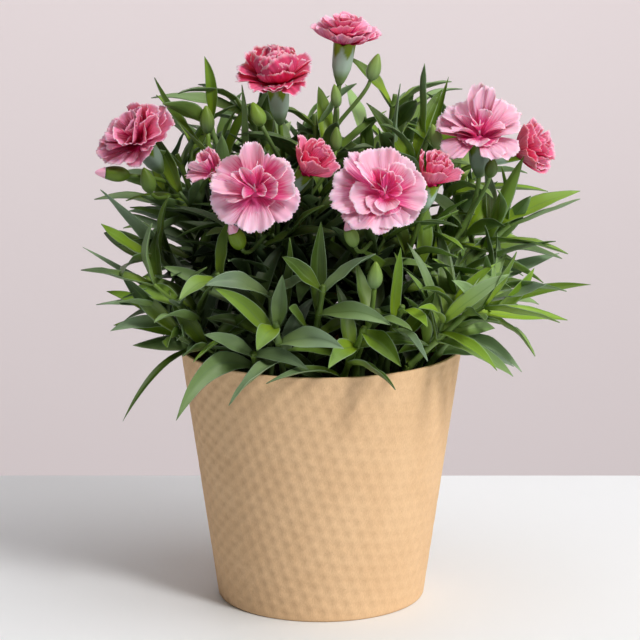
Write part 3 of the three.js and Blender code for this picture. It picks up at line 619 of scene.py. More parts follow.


# Flowering stems: [kind, root, where the bloom sits, the way it faces, its radius, its painted
# shade].
flowering = {
    "top": ["full", (3, 6), (11, 6, 261), (0.12, -0.14, 1), 15, 0],
    "crimson": ["full", (-9, 4), (-20, 0, 243), (-0.06, -0.3, 1), 16.5, 0],
    "left": ["full", (-27, 12), (-83, -8, 217), (-0.42, -0.52, 0.76), 19, 0.65],
    "front_left": ["full", (-13, -17), (-29, -52, 201), (-0.1, -0.86, 0.5), 20.5, 0],
    "middle": ["half", (6, -14), (-4, -34, 210), (0.5, -0.4, 0.77), 11, 0.4],
    "front_right": ["full", (16, -24), (28, -54, 200), (0.1, -0.82, 0.57), 20.5, 0],
    "right": ["half", (26, -12), (50, -38, 206), (0.22, -0.4, 0.9), 10, 0],
    "far_right": ["full", (30, -2), (71, -18, 221), (-0.02, -0.42, 0.9), 19.5, 0.7],
    "half_left": ["half", (-34, -19), (-49, -41, 209), (-0.5, -0.45, 0.75), 8, 0],
    "half_right": ["half", (28, 16), (95, 2, 210), (0.9, -0.3, 0.32), 12, 0],
    "bud_left": ["bud", (-24, 22), (-52, -6, 231), (-0.05, -0.1, 1), 3.4, 0],
    "bud_front": ["bud", (14, -38), (24, -62, 171), (0.05, -0.2, 1), 3.4, 0],
}

# Their buds on side shoots: [share of the stem, tip, the way it points, length, radius, open].
sideBuds = {
    "top": [
        [0.84, (26, 5, 253), (0.3, 0, 1), 13, 3.3, False],
        [0.76, (6, -1, 240), (-0.12, -0.1, 1), 11, 2.5, False],
    ],
    "crimson": [[0.8, (-31, -9, 233), (-0.4, -0.15, 1), 12, 3.4, False]],
    "left": [
        [0.9, (-102, -14, 202), (-1, -0.15, 0.12), 16, 3.6, True],
        [0.84, (-80, -14, 204), (-0.25, -0.3, 1), 13, 3.5, False],
    ],
    "front_left": [[0.74, (-40, -57, 187), (-0.35, -0.35, 0.87), 14, 3.8, True]],
    "middle": [[0.7, (7, -16, 223), (0.05, -0.1, 1), 11, 2.8, False]],
    "front_right": [[0.74, (11, -57, 188), (-0.3, -0.25, 0.92), 13, 3.2, True]],
    "right": [[0.78, (50, -15, 224), (-0.25, -0.1, 1), 12, 3, False]],
    "far_right": [[0.8, (77, -24, 210), (0.1, -0.5, 0.8), 11, 3, False]],
}

# Young side shoots in the leaf axils: short, with crosswise pairs of leaves, steepest at the tip.
# Each pair is (share of the shoot, length of its leaves, how far they open).
tuft = {
    "perStem": 4,
    "opening": (20, 38),
    "reach": (9, 18),
    "pairs": [(0.4, 44, 40), (1.0, 38, 24)],
    "width": 9,
    "lift": 0.12,
    "droop": 0.08,
    "rows": 11,
    "columns": 5,
    "clearance": 1.5,
    "ceiling": 244,
    "wallFrom": 51,
    "soilTo": 60,
    "frontTips": (-50, 166),
}


def between(limits, share):
    return limits[0] + (limits[1] - limits[0]) * share


# Leaves keep inside the plant's own bounds, off the pots and soil, and out of the blooms' way.
def hasRoom(points, width):
    low, high = np.array(cadBounds) * 1000
    margin = tuft["clearance"]
    if np.any(points < low + margin) or np.any(points > high - margin):
        return False
    away, height = np.hypot(points[:, 0], points[:, 1]), points[:, 2]
    inWall = (height < coverPot["height"] + 2) & (away > tuft["wallFrom"] - width / 2)
    inSoil = (height < soil["top"] + 3) & (away < tuft["soilTo"])
    if np.any(inWall | inSoil | (height > tuft["ceiling"])):
        return False
    toViewer = np.array([0, -math.cos(viewHeight), math.sin(viewHeight)])
    for kind, root, at, facing, radius, shade in flowering.values():
        offset = points - np.array(at)
        ahead = dots(offset, toViewer)
        aside = np.linalg.norm(offset - ahead * toViewer, axis=1)
        reach = radius + width / 2
        if kind != "bud" and np.any((ahead[:, 0] > -0.5 * reach) & (aside < reach)):
            return False
    return True


def addTuft(skin, start, along, turn, seed):
    square = unit(np.cross(along, (0.31, 0.22, 0.93) if abs(along[2]) < 0.9 else (1, 0.2, 0)))
    outward = turned(square, np.cross(along, square), turn)
    heading = turned(along, outward, math.radians(between(tuft["opening"], scatter(seed, 1))))
    reach = between(tuft["reach"], scatter(seed, 2))
    end = start + heading * reach + np.array([0, 0, tuft["lift"] * reach])
    leaving, arriving = start + heading * reach / 3, end - (heading + along) * reach / 6
    axis = bezier((start, leaving, arriving, end), 8)
    if not hasRoom(axis[3:], 2):
        return
    grown = []
    for pair, (share, length, slant) in enumerate(tuft["pairs"]):
        foot = axis[int(round(share * 7))]
        way = unit(axis[-1] - axis[-2])
        square = unit(np.cross(way, along + np.array([0.1, 0.2, 0.05])))
        for half in range(2):
            key = seed * 7 + pair * 2 + half
            around = half * math.pi + pair * math.pi / 2 + 0.5 * (scatter(key, 3) - 0.5)
            side = turned(square, np.cross(way, square), around)
            slope = math.radians(slant + 16 * (scatter(key, 4) - 0.5))
            long = length * (0.8 + 0.4 * scatter(key, 5))
            bend = foot + turned(way, side, slope) * long * 0.5
            slope += math.radians(15 + 40 * scatter(key, 6))
            droop = np.array([0, 0, tuft["droop"] * long])
            tip = bend + turned(way, side, slope) * long * 0.5 - droop
            across = unit(np.cross(way, side) + 0.5 * (scatter(key, 7) - 0.5) * way)
            width = tuft["width"] * (0.75 + 0.35 * scatter(key, 8)) * (1 - 0.08 * pair)
            if hasRoom(arc(foot, bend, tip, np.linspace(0.15, 1, 6)[:, None]), width * 0.7):
                youth = 0.25 + 0.6 * scatter(key, 9) * (0.4 + 0.3 * pair)
                leaf = {"foot": foot, "bend": bend, "tip": tip, "ways": [across] * 3}
                grown.append(({**leaf, "width": width, "youth": youth}, key))
    if grown:
        addStem(skin, axis, 0.9, 0.2, [], seed)
    for leaf, key in grown:
        addLeaf(skin, leaf, key, tuft["rows"], tuft["columns"])


# The shoots at the front are bare of side shoots, so that their own leaves show.
def addTufts(skin, line, seed):
    front, low = tuft["frontTips"]
    if line[-1][1] < front and line[-1][2] < low:
        return
    for number in range(tuft["perStem"]):
        share = 0.16 + 0.72 * (number + 0.6 * scatter(seed, number)) / tuft["perStem"]
        spot = int(share * (len(line) - 1))
        along = unit(line[spot + 1] - line[spot])
        addTuft(skin, line[spot], along, seed * 1.7 + number * 2.4, seed * 50 + number)


# The look of leaf: a bluish green with a waxy bloom, a pale edge, and a yellow green foot. Leaves
# lie between the two kinds of deep and waxy green.
leafLook = {
    "deep": [(0.025, 0.056, 0.003), (0.03, 0.066, 0.018)],
    "waxy": [(0.22, 0.39, 0.03), (0.28, 0.43, 0.19)],
    "young": (0.25, 0.39, 0.012),
    "edge": (0.3, 0.43, 0.27),
    "rib": (0.16, 0.28, 0.07),
    "bloom": (0.52, 0.7, 0.58),
    "back": (0.11, 0.19, 0.08),
    # painted shade colour, for greens deep in the plant or on its shaded side
    "shade": (0.008, 0.02, 0.005),
}


def foliageMaterial():
    material, tree, shader = newMaterial("foliage")
    cloud = noise(tree, objectPlace(tree), 90.0)
    along, side, tint = mask(tree, "along"), mask(tree, "side"), mask(tree, "tint")
    lengthways = {"X": times(tree, side, 3.0), "Y": times(tree, along, 0.35)}
    spread = addNode(tree, "ShaderNodeCombineXYZ", lengthways).outputs[0]
    lines = {"Vector": spread, "Scale": 9.0, "Detail": 2.0}
    veins = addNode(tree, "ShaderNodeTexNoise", lines, noise_dimensions="2D").outputs["Fac"]
    kind = remap(tree, tint, 0.25, 0.85)
    deep, waxy = [mixColour(tree, kind, *leafLook[name]) for name in ("deep", "waxy")]
    age = calculate(tree, "FRACT", times(tree, tint, 7.31))
    value = calculate(tree, "ADD", times(tree, age, 0.8), times(tree, cloud, 0.3))
    base = mixColour(tree, remap(tree, value, 0.15, 0.78), deep, waxy)
    veined = mixColour(tree, remap(tree, veins, 0.35, 0.65, 0.0, 0.25), base, waxy)
    youth = calculate(tree, "ADD", 0.3, mask(tree, "youth"))
    fresh = times(tree, remap(tree, along, 0.72, 0.08), youth)
    young = mixColour(tree, calculate(tree, "MINIMUM", fresh, 0.9), veined, leafLook["young"])
    outward = calculate(tree, "ABSOLUTE", side)
    isBlade = calculate(tree, "SUBTRACT", 1.0, mask(tree, "stem"))
    edge = times(tree, remap(tree, outward, 0.88, 0.98, 0.0, 0.75), isBlade)
    edged = mixColour(tree, edge, young, leafLook["edge"])
    ribbed = mixColour(tree, remap(tree, outward, 0.12, 0.02, 0.0, 0.5), edged, leafLook["rib"])
    bloomy = mixColour(tree, times(tree, mask(tree, "wax"), 0.8), ribbed, leafLook["bloom"])
    backed = mixColour(tree, times(tree, mask(tree, "under"), 0.35), bloomy, leafLook["back"])
    # Painted shade: greens deep in the plant or on its shaded side darken toward the shade colour.
    colour = mixColour(tree, times(tree, mask(tree, "paintedShade"), 0.85), backed, leafLook["shade"])
    finish = {
        "Base Color": colour,
        "Roughness": remap(tree, cloud, 0.3, 0.7, 0.38, 0.5),
        "Normal": bumpOf(tree, veins, 0.1, 0.0003),
        "Specular IOR Level": 0.36,
    }
    setInputs(tree, shader, finish)
    return material


foliage = foliageMaterial()
foliageMasks = ("along", "side", "tint", "youth", "under", "stem", "wax", "paintedShade")

shootNames = sorted(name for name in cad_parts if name.startswith("shoot_"))
for number, name in enumerate(shootNames):
    points, joined = readNode(name)
    leaves = readLeaves(points, joined)
    middles = readStem(points, joined, leaves)
    line = smoothLine(middles, 5)
    skin = newSkin(*foliageMasks)
    addStem(skin, line, stem["radius"], stem["taper"], [leaf["foot"] for leaf in leaves], number)
    for index, leaf in enumerate(leaves):
        leaf["youth"] = 0.8 * scatter(number * 7 + index, 3)
        leaf["wax"] = 0.32 * (scatter(number * 5 + index, 6) > 0.66)
        # The leaf on the left of the rim gets painted shade.
        if name == "shoot_rim_left":
            leaf.update(youth=0.0, wax=0.25, shade=0.5)
        addLeaf(skin, leaf, number * 40 + index)
    addTufts(skin, line, number + 1)
    finishPiece(name + "_leaves", skin, foliage, [name])
print("shoots built:", len(shootNames))

# A calyx: its profile stands at these spots along it, with widths in shares of its foot's radius.
calyx = {
    "length": 17,
    "mouth": 5,
    "foot": 2.4,
    "tooth": 2.4,
    "teeth": 5,
    "ribs": 30,
    "socket": 4,
    "sides": 60,
    "spots": [-0.12, -0.04, 0.02, 0.1, 0.35, 0.55, 0.63, 0.71, 0.78, 0.85, 0.91, 0.97],
    "widths": [0.5, 0.85, 1, 1.25, 1.79, 1.93, 1.96, 1.99, 2.01, 2.03, 2.04, 2.05],
}
# How large each kind of bloom is, and how far its mouth lies below its middle, in shares of radius.
bloomKinds = {"full": (1, 0.28), "half": (0.8, 0.62)}


def stemLine(root, end, facing, looseness=0.42):
    start = np.array([root[0], root[1], stem["free"]], float)
    reach = np.linalg.norm(end - start)
    rise = start + np.array([0, 0, reach * looseness])
    return bezier((start, rise, end - facing * reach * looseness, end), 40)


# Two directions square to a facing, as the CAD model has them for calyxes and buds.
def squareTo(facing):
    across = np.array([0.2, 1, 0.1])
    side = unit(across - np.dot(across, facing) * facing)
    return side, np.cross(facing, side)


def ringAbout(middle, facing, radius, sides, lift=0.0):
    side, other = squareTo(facing)
    angle = evenTurns(sides)[:, None]
    radius = np.reshape(radius, (-1, 1))
    ring = middle + radius * (np.cos(angle) * side + np.sin(angle) * other)
    return ring + np.reshape(lift, (-1, 1)) * facing


def addCalyx(skin, mouth, facing, size, seed, shade):
    sides, teeth = calyx["sides"], calyx["teeth"]
    angle = evenTurns(sides)
    tooth = np.abs(((angle * teeth / (2 * math.pi)) % 1) * 2 - 1) ** 1.2
    ridge = 1 + 0.035 * np.cos(angle * teeth) + 0.012 * np.cos(angle * calyx["ribs"])
    rings, share = [], []
    for spot, width in zip(calyx["spots"], calyx["widths"]):
        middle = mouth + facing * (spot - 1) * calyx["length"] * size
        lift = (0.5 + tooth * 0.8) * calyx["tooth"] * size * (spot > 0.9)
        radius = width * calyx["foot"] * size * ridge * (1 + 0.05 * tooth * (spot > 0.9))
        rings.append(ringAbout(middle, facing, radius, sides, lift))
        share.append(np.full(sides, max(spot, 0)))
    socket = 1 - calyx["socket"] / calyx["length"]
    for spot, width, rise in ((0.96, 0.86, 1.25), (0.9, 0.74, 0), (socket, 0.62, 0)):
        middle = mouth + facing * (spot - 1) * calyx["length"] * size
        lift = (0.4 + tooth * 0.6) * calyx["tooth"] * size * rise
        rings.append(ringAbout(middle, facing, width * calyx["mouth"] * size, sides, lift))
        share.append(np.full(sides, 0.9))
    share = np.array(share)
    green = smoothStep(0.86, 0.96, share + 0.24 * tooth)
    values = {
        "along": 0.4 - 0.3 * share,
        "side": 0.5,
        "tint": scatter(seed, 8),
        "youth": 0.1 + 0.8 * green,
        "stem": 1.0,
        "wax": (0.25 + smoothStep(0.1, 0.4, share)) * (1 - green),
        # Painted shade for calyxes that lie in the plant's shade.
        "paintedShade": shade,
    }
    addLoft(skin, np.array(rings), values)


budSeat = 0.97  # how far below its tip a bud stands on its stem, in shares of its length


def budShape(share):
    return np.sin(math.pi * np.maximum(share, 0) ** 0.8) ** 0.75 * (1 - 0.25 * share) + 0.1


# The part of a bud from low to high, as shares of its length. Values may change along the bud.
def addBud(skin, tip, facing, length, radius, low, high, values, twist=0.0, ridges=0.03):
    sides = 40
    angle = evenTurns(sides)
    share = np.linspace(low, min(high, 0.995), 18)
    rings = []
    for spot in share:
        width = radius * budShape(spot) * (1 + ridges * np.cos(angle * 5 + twist * spot * 6))
        rings.append(ringAbout(tip + facing * (spot - 1) * length, facing, width, sides))
    spread = {"side": 0.7 * np.cos(angle * 5 + 0.4)}
    for name, value in values.items():
        spread[name] = value(share)[:, None] if callable(value) else value
    addLoft(skin, np.array(rings), spread)


# The petals of each bloom from the outermost in, singly or in even rings: (turn, foot, edge,
# length, width, cup, twist, layer, swirl, stain, count). turn runs clockwise as seen from the
# front, from 0 at the top, and foot and edge say how far a petal opens from the bloom's axis, both
# in degrees. From length to stain the values are in hundredths, length and half width of the
# bloom's radius. What a row leaves out at its end is as in petalDefaults.
# stain carries the heart's crimson further along a petal: a real marking, and on back petals also
# painted shade.
petalDefaults = (0, 0, 0, 1)
petalRows = {
    "top": [
        (20, 80, 48, 104, 72, 10, 10, 0, 10, 35, 6), (55, 72, 60, 94, 60, 15, 20, 20, 15, 0, 5),
        (15, 58, 54, 80, 50, 25, 30, 40, 25, 0, 5), (50, 40, 34, 66, 40, 50, 30, 65, 30, 0, 4),
        (0, 16, 14, 46, 26, 60, 40, 90, 30, 0, 3),
    ],
    "crimson": [
        (140, 66, 92, 96, 50, 10, 20, 0, 10), (222, 66, 96, 92, 46, 10, -20, 0, 10),
        (180, 62, 90, 78, 50, 10, 10), (40, 62, 80, 90, 50, 10, 10, 0, 10, 0, 3),
        (288, 56, 46, 116, 36, 50, -20, 15), (270, 60, 60, 114, 36, 45, -20, 10, 10),
        (252, 64, 76, 110, 36, 30, -20, 5, 10), (74, 56, 44, 116, 36, 50, 20, 15),
        (92, 60, 58, 114, 38, 45, 20, 10, -10), (112, 64, 74, 110, 40, 30, 20, 5, -10),
        (208, 74, 0, 74, 50, 30, 30, 15, 20), (150, 72, 2, 80, 50, 30, -20, 15, -20),
        (180, 70, -26, 98, 56, 40, 30, 20, 20), (218, 70, -34, 114, 60, 35, 30, 25, 20),
        (138, 70, -36, 118, 62, 35, -20, 30, -20), (268, 72, -32, 114, 60, 35, 30, 20, 20),
        (92, 72, -32, 118, 60, 35, 20, 25, 20), (20, 66, -36, 118, 62, 35, 30, 30, 20, 0, 2),
        (320, 68, -34, 116, 62, 35, -20, 28, 20), (184, 54, -50, 112, 50, 60, 40, 40, 40),
        (150, 50, -56, 108, 44, 70, -40, 50, 30), (66, 50, -58, 112, 54, 60, 40, 50, 40, 0, 2),
        (200, 40, -60, 106, 40, 80, 50, 60, 40), (0, 30, -66, 98, 36, 70, 50, 70, 60, 0, 4),
    ],
    "left": [
        (246, 60, 80, 108, 62, 10, 10, 0, 10), (216, 60, 82, 102, 56, 10, -10),
        (184, 62, 86, 84, 50, 10, 10), (150, 62, 88, 94, 50, 10, 20),
        (114, 58, 84, 100, 46, 20, -20), (80, 58, 78, 118, 50, 20, 20),
        (52, 58, 70, 106, 50, 20, -20, 5), (20, 58, 64, 72, 48, 20, 20, 5),
        (280, 60, 82, 94, 54, 15, 20, 5, 10), (312, 58, 74, 72, 50, 20, 20, 5, 10),
        (344, 56, 66, 64, 48, 20, 20, 10, 10), (92, 48, 60, 100, 44, 50, 40, 20),
        (62, 44, 46, 100, 46, 60, -30, 30, 0, 20), (34, 40, 38, 92, 46, 60, 30, 35, 0, 20),
        (124, 46, 62, 90, 36, 60, 50, 30), (152, 42, 52, 88, 34, 80, 60, 40),
        (184, 40, 50, 80, 30, 90, -50, 40), (230, 50, 74, 80, 44, 35, 20, 20, 0, 30),
        (268, 48, 64, 80, 44, 40, -20, 25, 0, 30), (306, 42, 50, 70, 42, 50, 20, 35),
        (340, 36, 36, 68, 42, 60, 20, 45, 10), (8, 30, 26, 66, 36, 70, 50, 60, 10),
        (52, 28, 22, 78, 34, 80, -50, 60, 10), (104, 26, 24, 76, 32, 80, 50, 70, 10),
        (150, 24, 22, 70, 28, 90, 50, 75, 20),
    ],
    "front_left": [
        (46, 68, 100, 88, 40, 10, 20, 0, 0, 45), (20, 68, 98, 84, 38, 10, -20, 0, 0, 50),
        (328, 68, 98, 88, 42, 10, -10, 0, 0, 45), (206, 66, 98, 84, 50, 10, 10, 0, 0, 30),
        (150, 66, 98, 80, 50, 10, 10, 0, 0, 30), (240, 62, 96, 102, 60, 15, -15, 5, 0, 15),
        (116, 62, 96, 96, 54, 12, 10, 5), (176, 58, 93, 103, 56, 8, 0, 12),
        (300, 52, 78, 104, 52, 45, -30, 12, 10, 30), (272, 46, 78, 102, 34, 50, 50, 22),
        (254, 46, 86, 72, 34, 35, 30, 25), (82, 46, 70, 106, 56, 50, 25, 15, 0, 40),
        (54, 42, 66, 94, 34, 50, -40, 22, 0, 30), (357, 38, 76, 106, 33, 40, 15, 28),
        (96, 34, 66, 70, 30, 70, 50, 40, 0, 35), (296, 26, 58, 70, 17, 120, 60, 70, 0, 20),
        (322, 20, 50, 62, 16, 130, -50, 80, 0, 20), (26, 22, 52, 64, 17, 120, 50, 70, 10, 25),
        (62, 26, 54, 60, 18, 110, -50, 70, 0, 25), (120, 34, 66, 36, 16, 100, 40, 80, 0, 20),
        (224, 34, 66, 36, 14, 100, -40, 80, 0, 20),
    ],
    "front_right": [
        (316, 62, 84, 114, 42, 20, 20, 0, 0, 50), (24, 64, 96, 92, 54, 10, 10, 0, 0, 20),
        (352, 60, 88, 100, 62, 15, 5, 5), (284, 62, 96, 116, 46, 15, -20, 0, 0, 35),
        (258, 62, 98, 118, 46, 15, 10, 0, 0, 30), (230, 62, 98, 106, 50, 15, 20, 0, 0, 15),
        (200, 62, 96, 94, 50, 12, -10), (166, 62, 94, 84, 50, 12, 10),
        (134, 60, 92, 88, 52, 12, 10, 5), (94, 54, 82, 92, 58, 30, 10, 10, 0, 15),
        (50, 44, 70, 80, 42, 40, 20, 20, 0, 30), (300, 34, 62, 114, 30, 50, 110, 25),
        (246, 46, 82, 86, 44, 30, -30, 20, 0, 10), (214, 42, 78, 62, 34, 40, -20, 28, 0, 10),
        (180, 40, 76, 54, 34, 50, 10, 30), (316, 26, 54, 66, 20, 110, -50, 80, 0, 40),
        (345, 22, 50, 58, 18, 110, 50, 80, 0, 40), (18, 24, 48, 52, 17, 110, 40, 85, 0, 30),
        (62, 28, 58, 54, 18, 110, -40, 80, 0, 30), (108, 34, 66, 44, 18, 90, 30, 80, 0, 30),
        (272, 30, 64, 44, 15, 100, 30, 90, 0, 30),
    ],
    "far_right": [
        (232, 68, 122, 96, 50, 10, -10), (128, 68, 122, 100, 54, 10, 10),
        (152, 66, 112, 88, 44, 10, 0), (286, 62, 86, 106, 48, 20, -20, 5),
        (268, 56, 82, 102, 42, 30, 20, 12), (304, 50, 68, 98, 44, 30, -20, 20),
        (322, 42, 56, 92, 40, 30, -20, 30), (62, 52, 72, 108, 48, 20, 10, 10),
        (86, 56, 80, 102, 46, 20, -10, 5), (40, 44, 56, 104, 36, 30, 10, 20),
        (186, 54, 96, 52, 36, 30, 10, 20), (2, 22, 6, 134, 40, 20, 15, 12),
        (26, 22, 0, 122, 28, 50, 50, 30), (258, 42, 80, 72, 36, 40, 40, 30),
        (100, 40, 78, 60, 30, 40, -30, 40), (320, 24, 44, 56, 20, 80, 40, 70),
        (60, 24, 40, 50, 20, 90, 40, 80), (200, 24, 60, 34, 20, 80, 20, 90),
    ],
    "half_right": [
        (10, 60, 26, 140, 70, 15, 10, 0, 10, 0, 5), (45, 50, 30, 134, 62, 30, 25, 20, 20, 0, 4),
        (10, 38, 24, 126, 50, 50, 30, 45, 30, 0, 4), (50, 26, 16, 120, 40, 70, 40, 65, 40, 0, 3),
        (0, 10, 4, 110, 28, 90, 60, 90, 50, 0, 3),
    ],
    "middle": [
        (212, 46, 10, 144, 80, 15, 10), (140, 50, 36, 148, 62, 20, 20),
        (268, 54, 26, 162, 78, 20, -20), (322, 44, 22, 150, 68, 20, 10),
        (20, 44, 22, 138, 60, 20, 20), (78, 44, 30, 136, 56, 20, 20),
        (250, 36, 14, 138, 50, 50, 40, 30, 30, 0, 3), (20, 20, 6, 132, 38, 70, 50, 60, 40, 0, 3),
        (60, 8, 0, 124, 28, 90, 50, 90, 60, 0, 3),
    ],
    "right": [
        (285, 42, 6, 170, 68, 20, -10), (198, 44, 14, 142, 74, 20, 10),
        (120, 52, 44, 150, 52, 40, 20), (20, 40, 8, 150, 62, 20, 20), (70, 44, 24, 136, 52, 20, 20),
        (240, 30, 8, 134, 46, 50, 40, 30, 30, 0, 3), (0, 20, 4, 130, 36, 70, 50, 60, 40, 0, 3),
        (40, 6, 0, 122, 26, 90, 50, 90, 60, 0, 2),
    ],
    "half_left": [
        (338, 42, 18, 150, 56, 20, 10), (266, 50, 54, 146, 44, 30, 20),
        (240, 54, 64, 150, 46, 20, 10), (206, 50, 60, 134, 48, 20, 10),
        (150, 44, 40, 134, 50, 20, 10), (95, 44, 32, 134, 50, 20, 10),
        (40, 40, 16, 140, 50, 20, 10), (14, 22, 8, 150, 50, 15, 10, 10),
        (60, 20, 14, 122, 34, 70, 40, 60, 30, 0, 3),
    ],
}

# How every petal is made. Its depths, waves and curl are in shares of its length, the curl for
# each radian that its edge turns.
petal = {
    "rows": 12,
    "teeth": 13,
    "thickness": 0.26,
    "toothDepth": 0.032,
    "notch": 0.08,
    "roundness": 0.24,
    "wave": 0.06,
    "ripple": 0.026,
    "pleat": 0.011,
    "curl": 0.35,
    "curlRange": math.radians(34),
    "rise": 6.5,
    "ruff": (10, 60, 86, 46, 30, 10, 10, 8, 0, 60, 7),
}


def addPetal(skin, head, spec, seed):
    mouth, facing, across, other = head
    rows, columns = petal["rows"], petal["teeth"] * 2 + 1
    side = np.linspace(1, -1, columns)[None]
    reach = np.linspace(0, 1, rows)[:, None] ** 0.75
    teeth = [(column % 2) * (0.4 + 0.9 * scatter(column, seed)) for column in range(columns)]
    saw = petal["toothDepth"] * np.array(teeth)
    middle = 0.5 * (scatter(seed, 6) - 0.5)
    notch = petal["notch"] * np.exp(-(((side - middle) / 0.1) ** 2)) * scatter(seed, 9)
    edge = 1 - petal["roundness"] * np.abs(side) ** 2.4 - saw * reach**3 - notch
    share = reach * edge
    foot, opening = spec["foot"], spec["edge"] - spec["foot"]
    curl = petal["curlRange"] * (scatter(seed, 10) - 0.5) * smoothStep(0.55, 1.0, share)
    bent = foot + opening * share
    wave = np.sin(side * (3.5 + 3 * scatter(seed, 1)) + 6 * scatter(seed, 2))
    ripple = np.sin(side * (9 + 5 * scatter(seed, 7)) + 6 * scatter(seed, 8) + share * 3)
    pleats = np.sin(side * 17 + 6 * scatter(seed, 12)) * share * (1 - 0.4 * share)
    spread = spec["width"] * (0.06 + 1.02 * share**0.85 - 0.2 * share**3)
    lift = spread * (spec["twist"] * side + spec["cup"] * side**2)
    waves = share**2 * (petal["wave"] * wave + petal["ripple"] * ripple)
    lift = lift + spec["length"] * (waves + petal["pleat"] * pleats)
    lift = lift + spec["length"] * curl * share * petal["curl"]
    outward = turned(across, other, spec["turn"])
    sideways = np.cross(facing, outward)
    out = spec["start"] + spec["length"] / opening * (math.cos(foot) - np.cos(bent))
    rise = spec["rise"] + spec["length"] / opening * (np.sin(bent) - math.sin(foot))
    upper = facing * np.sin(bent)[..., None] - outward * np.cos(bent)[..., None]
    points = mouth + outward * out[..., None] + facing * rise[..., None]
    aside = side * spread + spec["swirl"] * spec["width"] * share**2
    points = points + sideways * aside[..., None] + upper * lift[..., None]
    normal = unit(np.cross(np.gradient(points, axis=1), np.gradient(points, axis=0)))
    thick = petal["thickness"] * (1.3 - 0.9 * reach)
    lower = points - normal * thick[..., None]
    values = {
        "along": share,
        "rim": reach,
        "side": side,
        "tint": scatter(seed, 11),
        "layer": spec["layer"],
        "stainAndShade": spec["stainAndShade"],
    }
    addSheet(skin, points, lower, values)


# Petal markings, shared by the blooms' materials: streaks, flames from the heart and a fine edge.
def petalMarks():
    group = bpy.data.node_groups.new("petal marks", "ShaderNodeTree")
    along, side, tint = mask(group, "along"), mask(group, "side"), mask(group, "tint")
    ways = {"X": (side, 5.0), "Y": (along, 0.8), "Z": (tint, 40.0)}
    ways = {name: times(group, *pair) for name, pair in ways.items()}
    spread = addNode(group, "ShaderNodeCombineXYZ", ways).outputs[0]
    lines = noise(group, spread, 3.0, 3.0, 0.6)
    # Stain spreads the heart colour outward: partly a real marking, partly painted shade on back
    # petals.
    stainAndShade = times(group, mask(group, "stainAndShade"), 0.8)
    inner = calculate(group, "MULTIPLY_ADD", mask(group, "layer"), 0.3, stainAndShade)
    flames = remap(group, lines, 0.3, 0.7, 0.11, -0.11)
    flame = calculate(group, "ADD", calculate(group, "SUBTRACT", along, inner), flames)
    fade = remap(group, along, 0.95, 0.3)
    marks = {
        "Streaks": times(group, remap(group, lines, 0.45, 0.62), fade),
        "Heart": remap(group, flame, 0.6, 0.12),
        "Rim": remap(group, mask(group, "rim"), 0.88, 0.99),
        "Mottle": noise(group, objectPlace(group), 150.0, 2.0),
    }
    for name in marks:
        group.interface.new_socket(name, in_out="OUTPUT", socket_type="NodeSocketFloat")
    addNode(group, "NodeGroupOutput", marks)
    return group


petalGroup = petalMarks()
petalMasks = ("along", "rim", "side", "tint", "layer", "stainAndShade", "under")


def petalMaterial(name, look):
    material, tree, shader = newMaterial(name)
    marks = addNode(tree, "ShaderNodeGroup", node_tree=petalGroup).outputs
    outside = mask(tree, "under")
    base = mixColour(tree, mask(tree, "tint"), look["pale"], look["body"])
    mottle = remap(tree, marks["Mottle"], 0.35, 0.7, 0.0, 0.4)
    mottled = mixColour(tree, mottle, base, look["body"])
    hearted = mixColour(tree, marks["Heart"], mottled, look["heart"])
    streaked = mixColour(tree, times(tree, marks["Streaks"], look["streak"]), hearted, look["deep"])
    more = look["backRim"] - look["rimShare"]
    rimShare = calculate(tree, "MULTIPLY_ADD", outside, more, look["rimShare"])
    rimmed = mixColour(tree, times(tree, marks["Rim"], rimShare), streaked, look["rim"])
    finish = {
        "Base Color": mixColour(tree, times(tree, outside, look["back"]), rimmed, look["heart"]),
        "Roughness": 0.62,
        "Specular IOR Level": 0.3,
        "Subsurface Weight": 0.25,
        "Subsurface Scale": 0.003,
    }
    setInputs(tree, shader, finish)
    return material


# Colours from a petal's body to its heart, and how strongly its streaks, rim and outer face show.
looks = {
    "blush": {
        "pale": (1, 0.63, 0.78),
        "body": (1, 0.47, 0.64),
        "heart": (0.88, 0.1, 0.34),
        "deep": (0.72, 0.04, 0.2),
        "rim": (1, 0.82, 0.91),
        "streak": 0.4,
        "rimShare": 0.4,
        "backRim": 0.3,
        "back": 0.2,
    },
    "pink": {
        "pale": (1, 0.52, 0.71),
        "body": (1, 0.27, 0.47),
        "heart": (0.68, 0.01, 0.15),
        "deep": (0.46, 0.002, 0.06),
        "rim": (1, 0.76, 0.88),
        "streak": 0.5,
        "rimShare": 0.5,
        "backRim": 0.3,
        "back": 0.3,
    },
    "rose": {
        "pale": (1, 0.36, 0.55),
        "body": (0.95, 0.17, 0.35),
        "heart": (0.7, 0.015, 0.16),
        "deep": (0.5, 0.004, 0.07),
        "rim": (1, 0.74, 0.85),
        "streak": 0.5,
        "rimShare": 0.55,
        "backRim": 0.3,
        "back": 0.15,
    },
    "crimson": {
        "pale": (1, 0.24, 0.42),
        "body": (0.84, 0.035, 0.16),
        "heart": (0.6, 0.003, 0.07),
        "deep": (0.38, 0, 0.03),
        "rim": (1, 0.72, 0.84),
        "streak": 0.5,
        "rimShare": 0.85,
        "backRim": 0.75,
        "back": 0.35,
    },
}
petalMaterials = {name: petalMaterial("petals " + name, look) for name, look in looks.items()}
bloomLooks = {
    "top": "pink",
    "crimson": "crimson",
    "left": "pink",
    "middle": "rose",
    "right": "rose",
    "half_right": "rose",
}


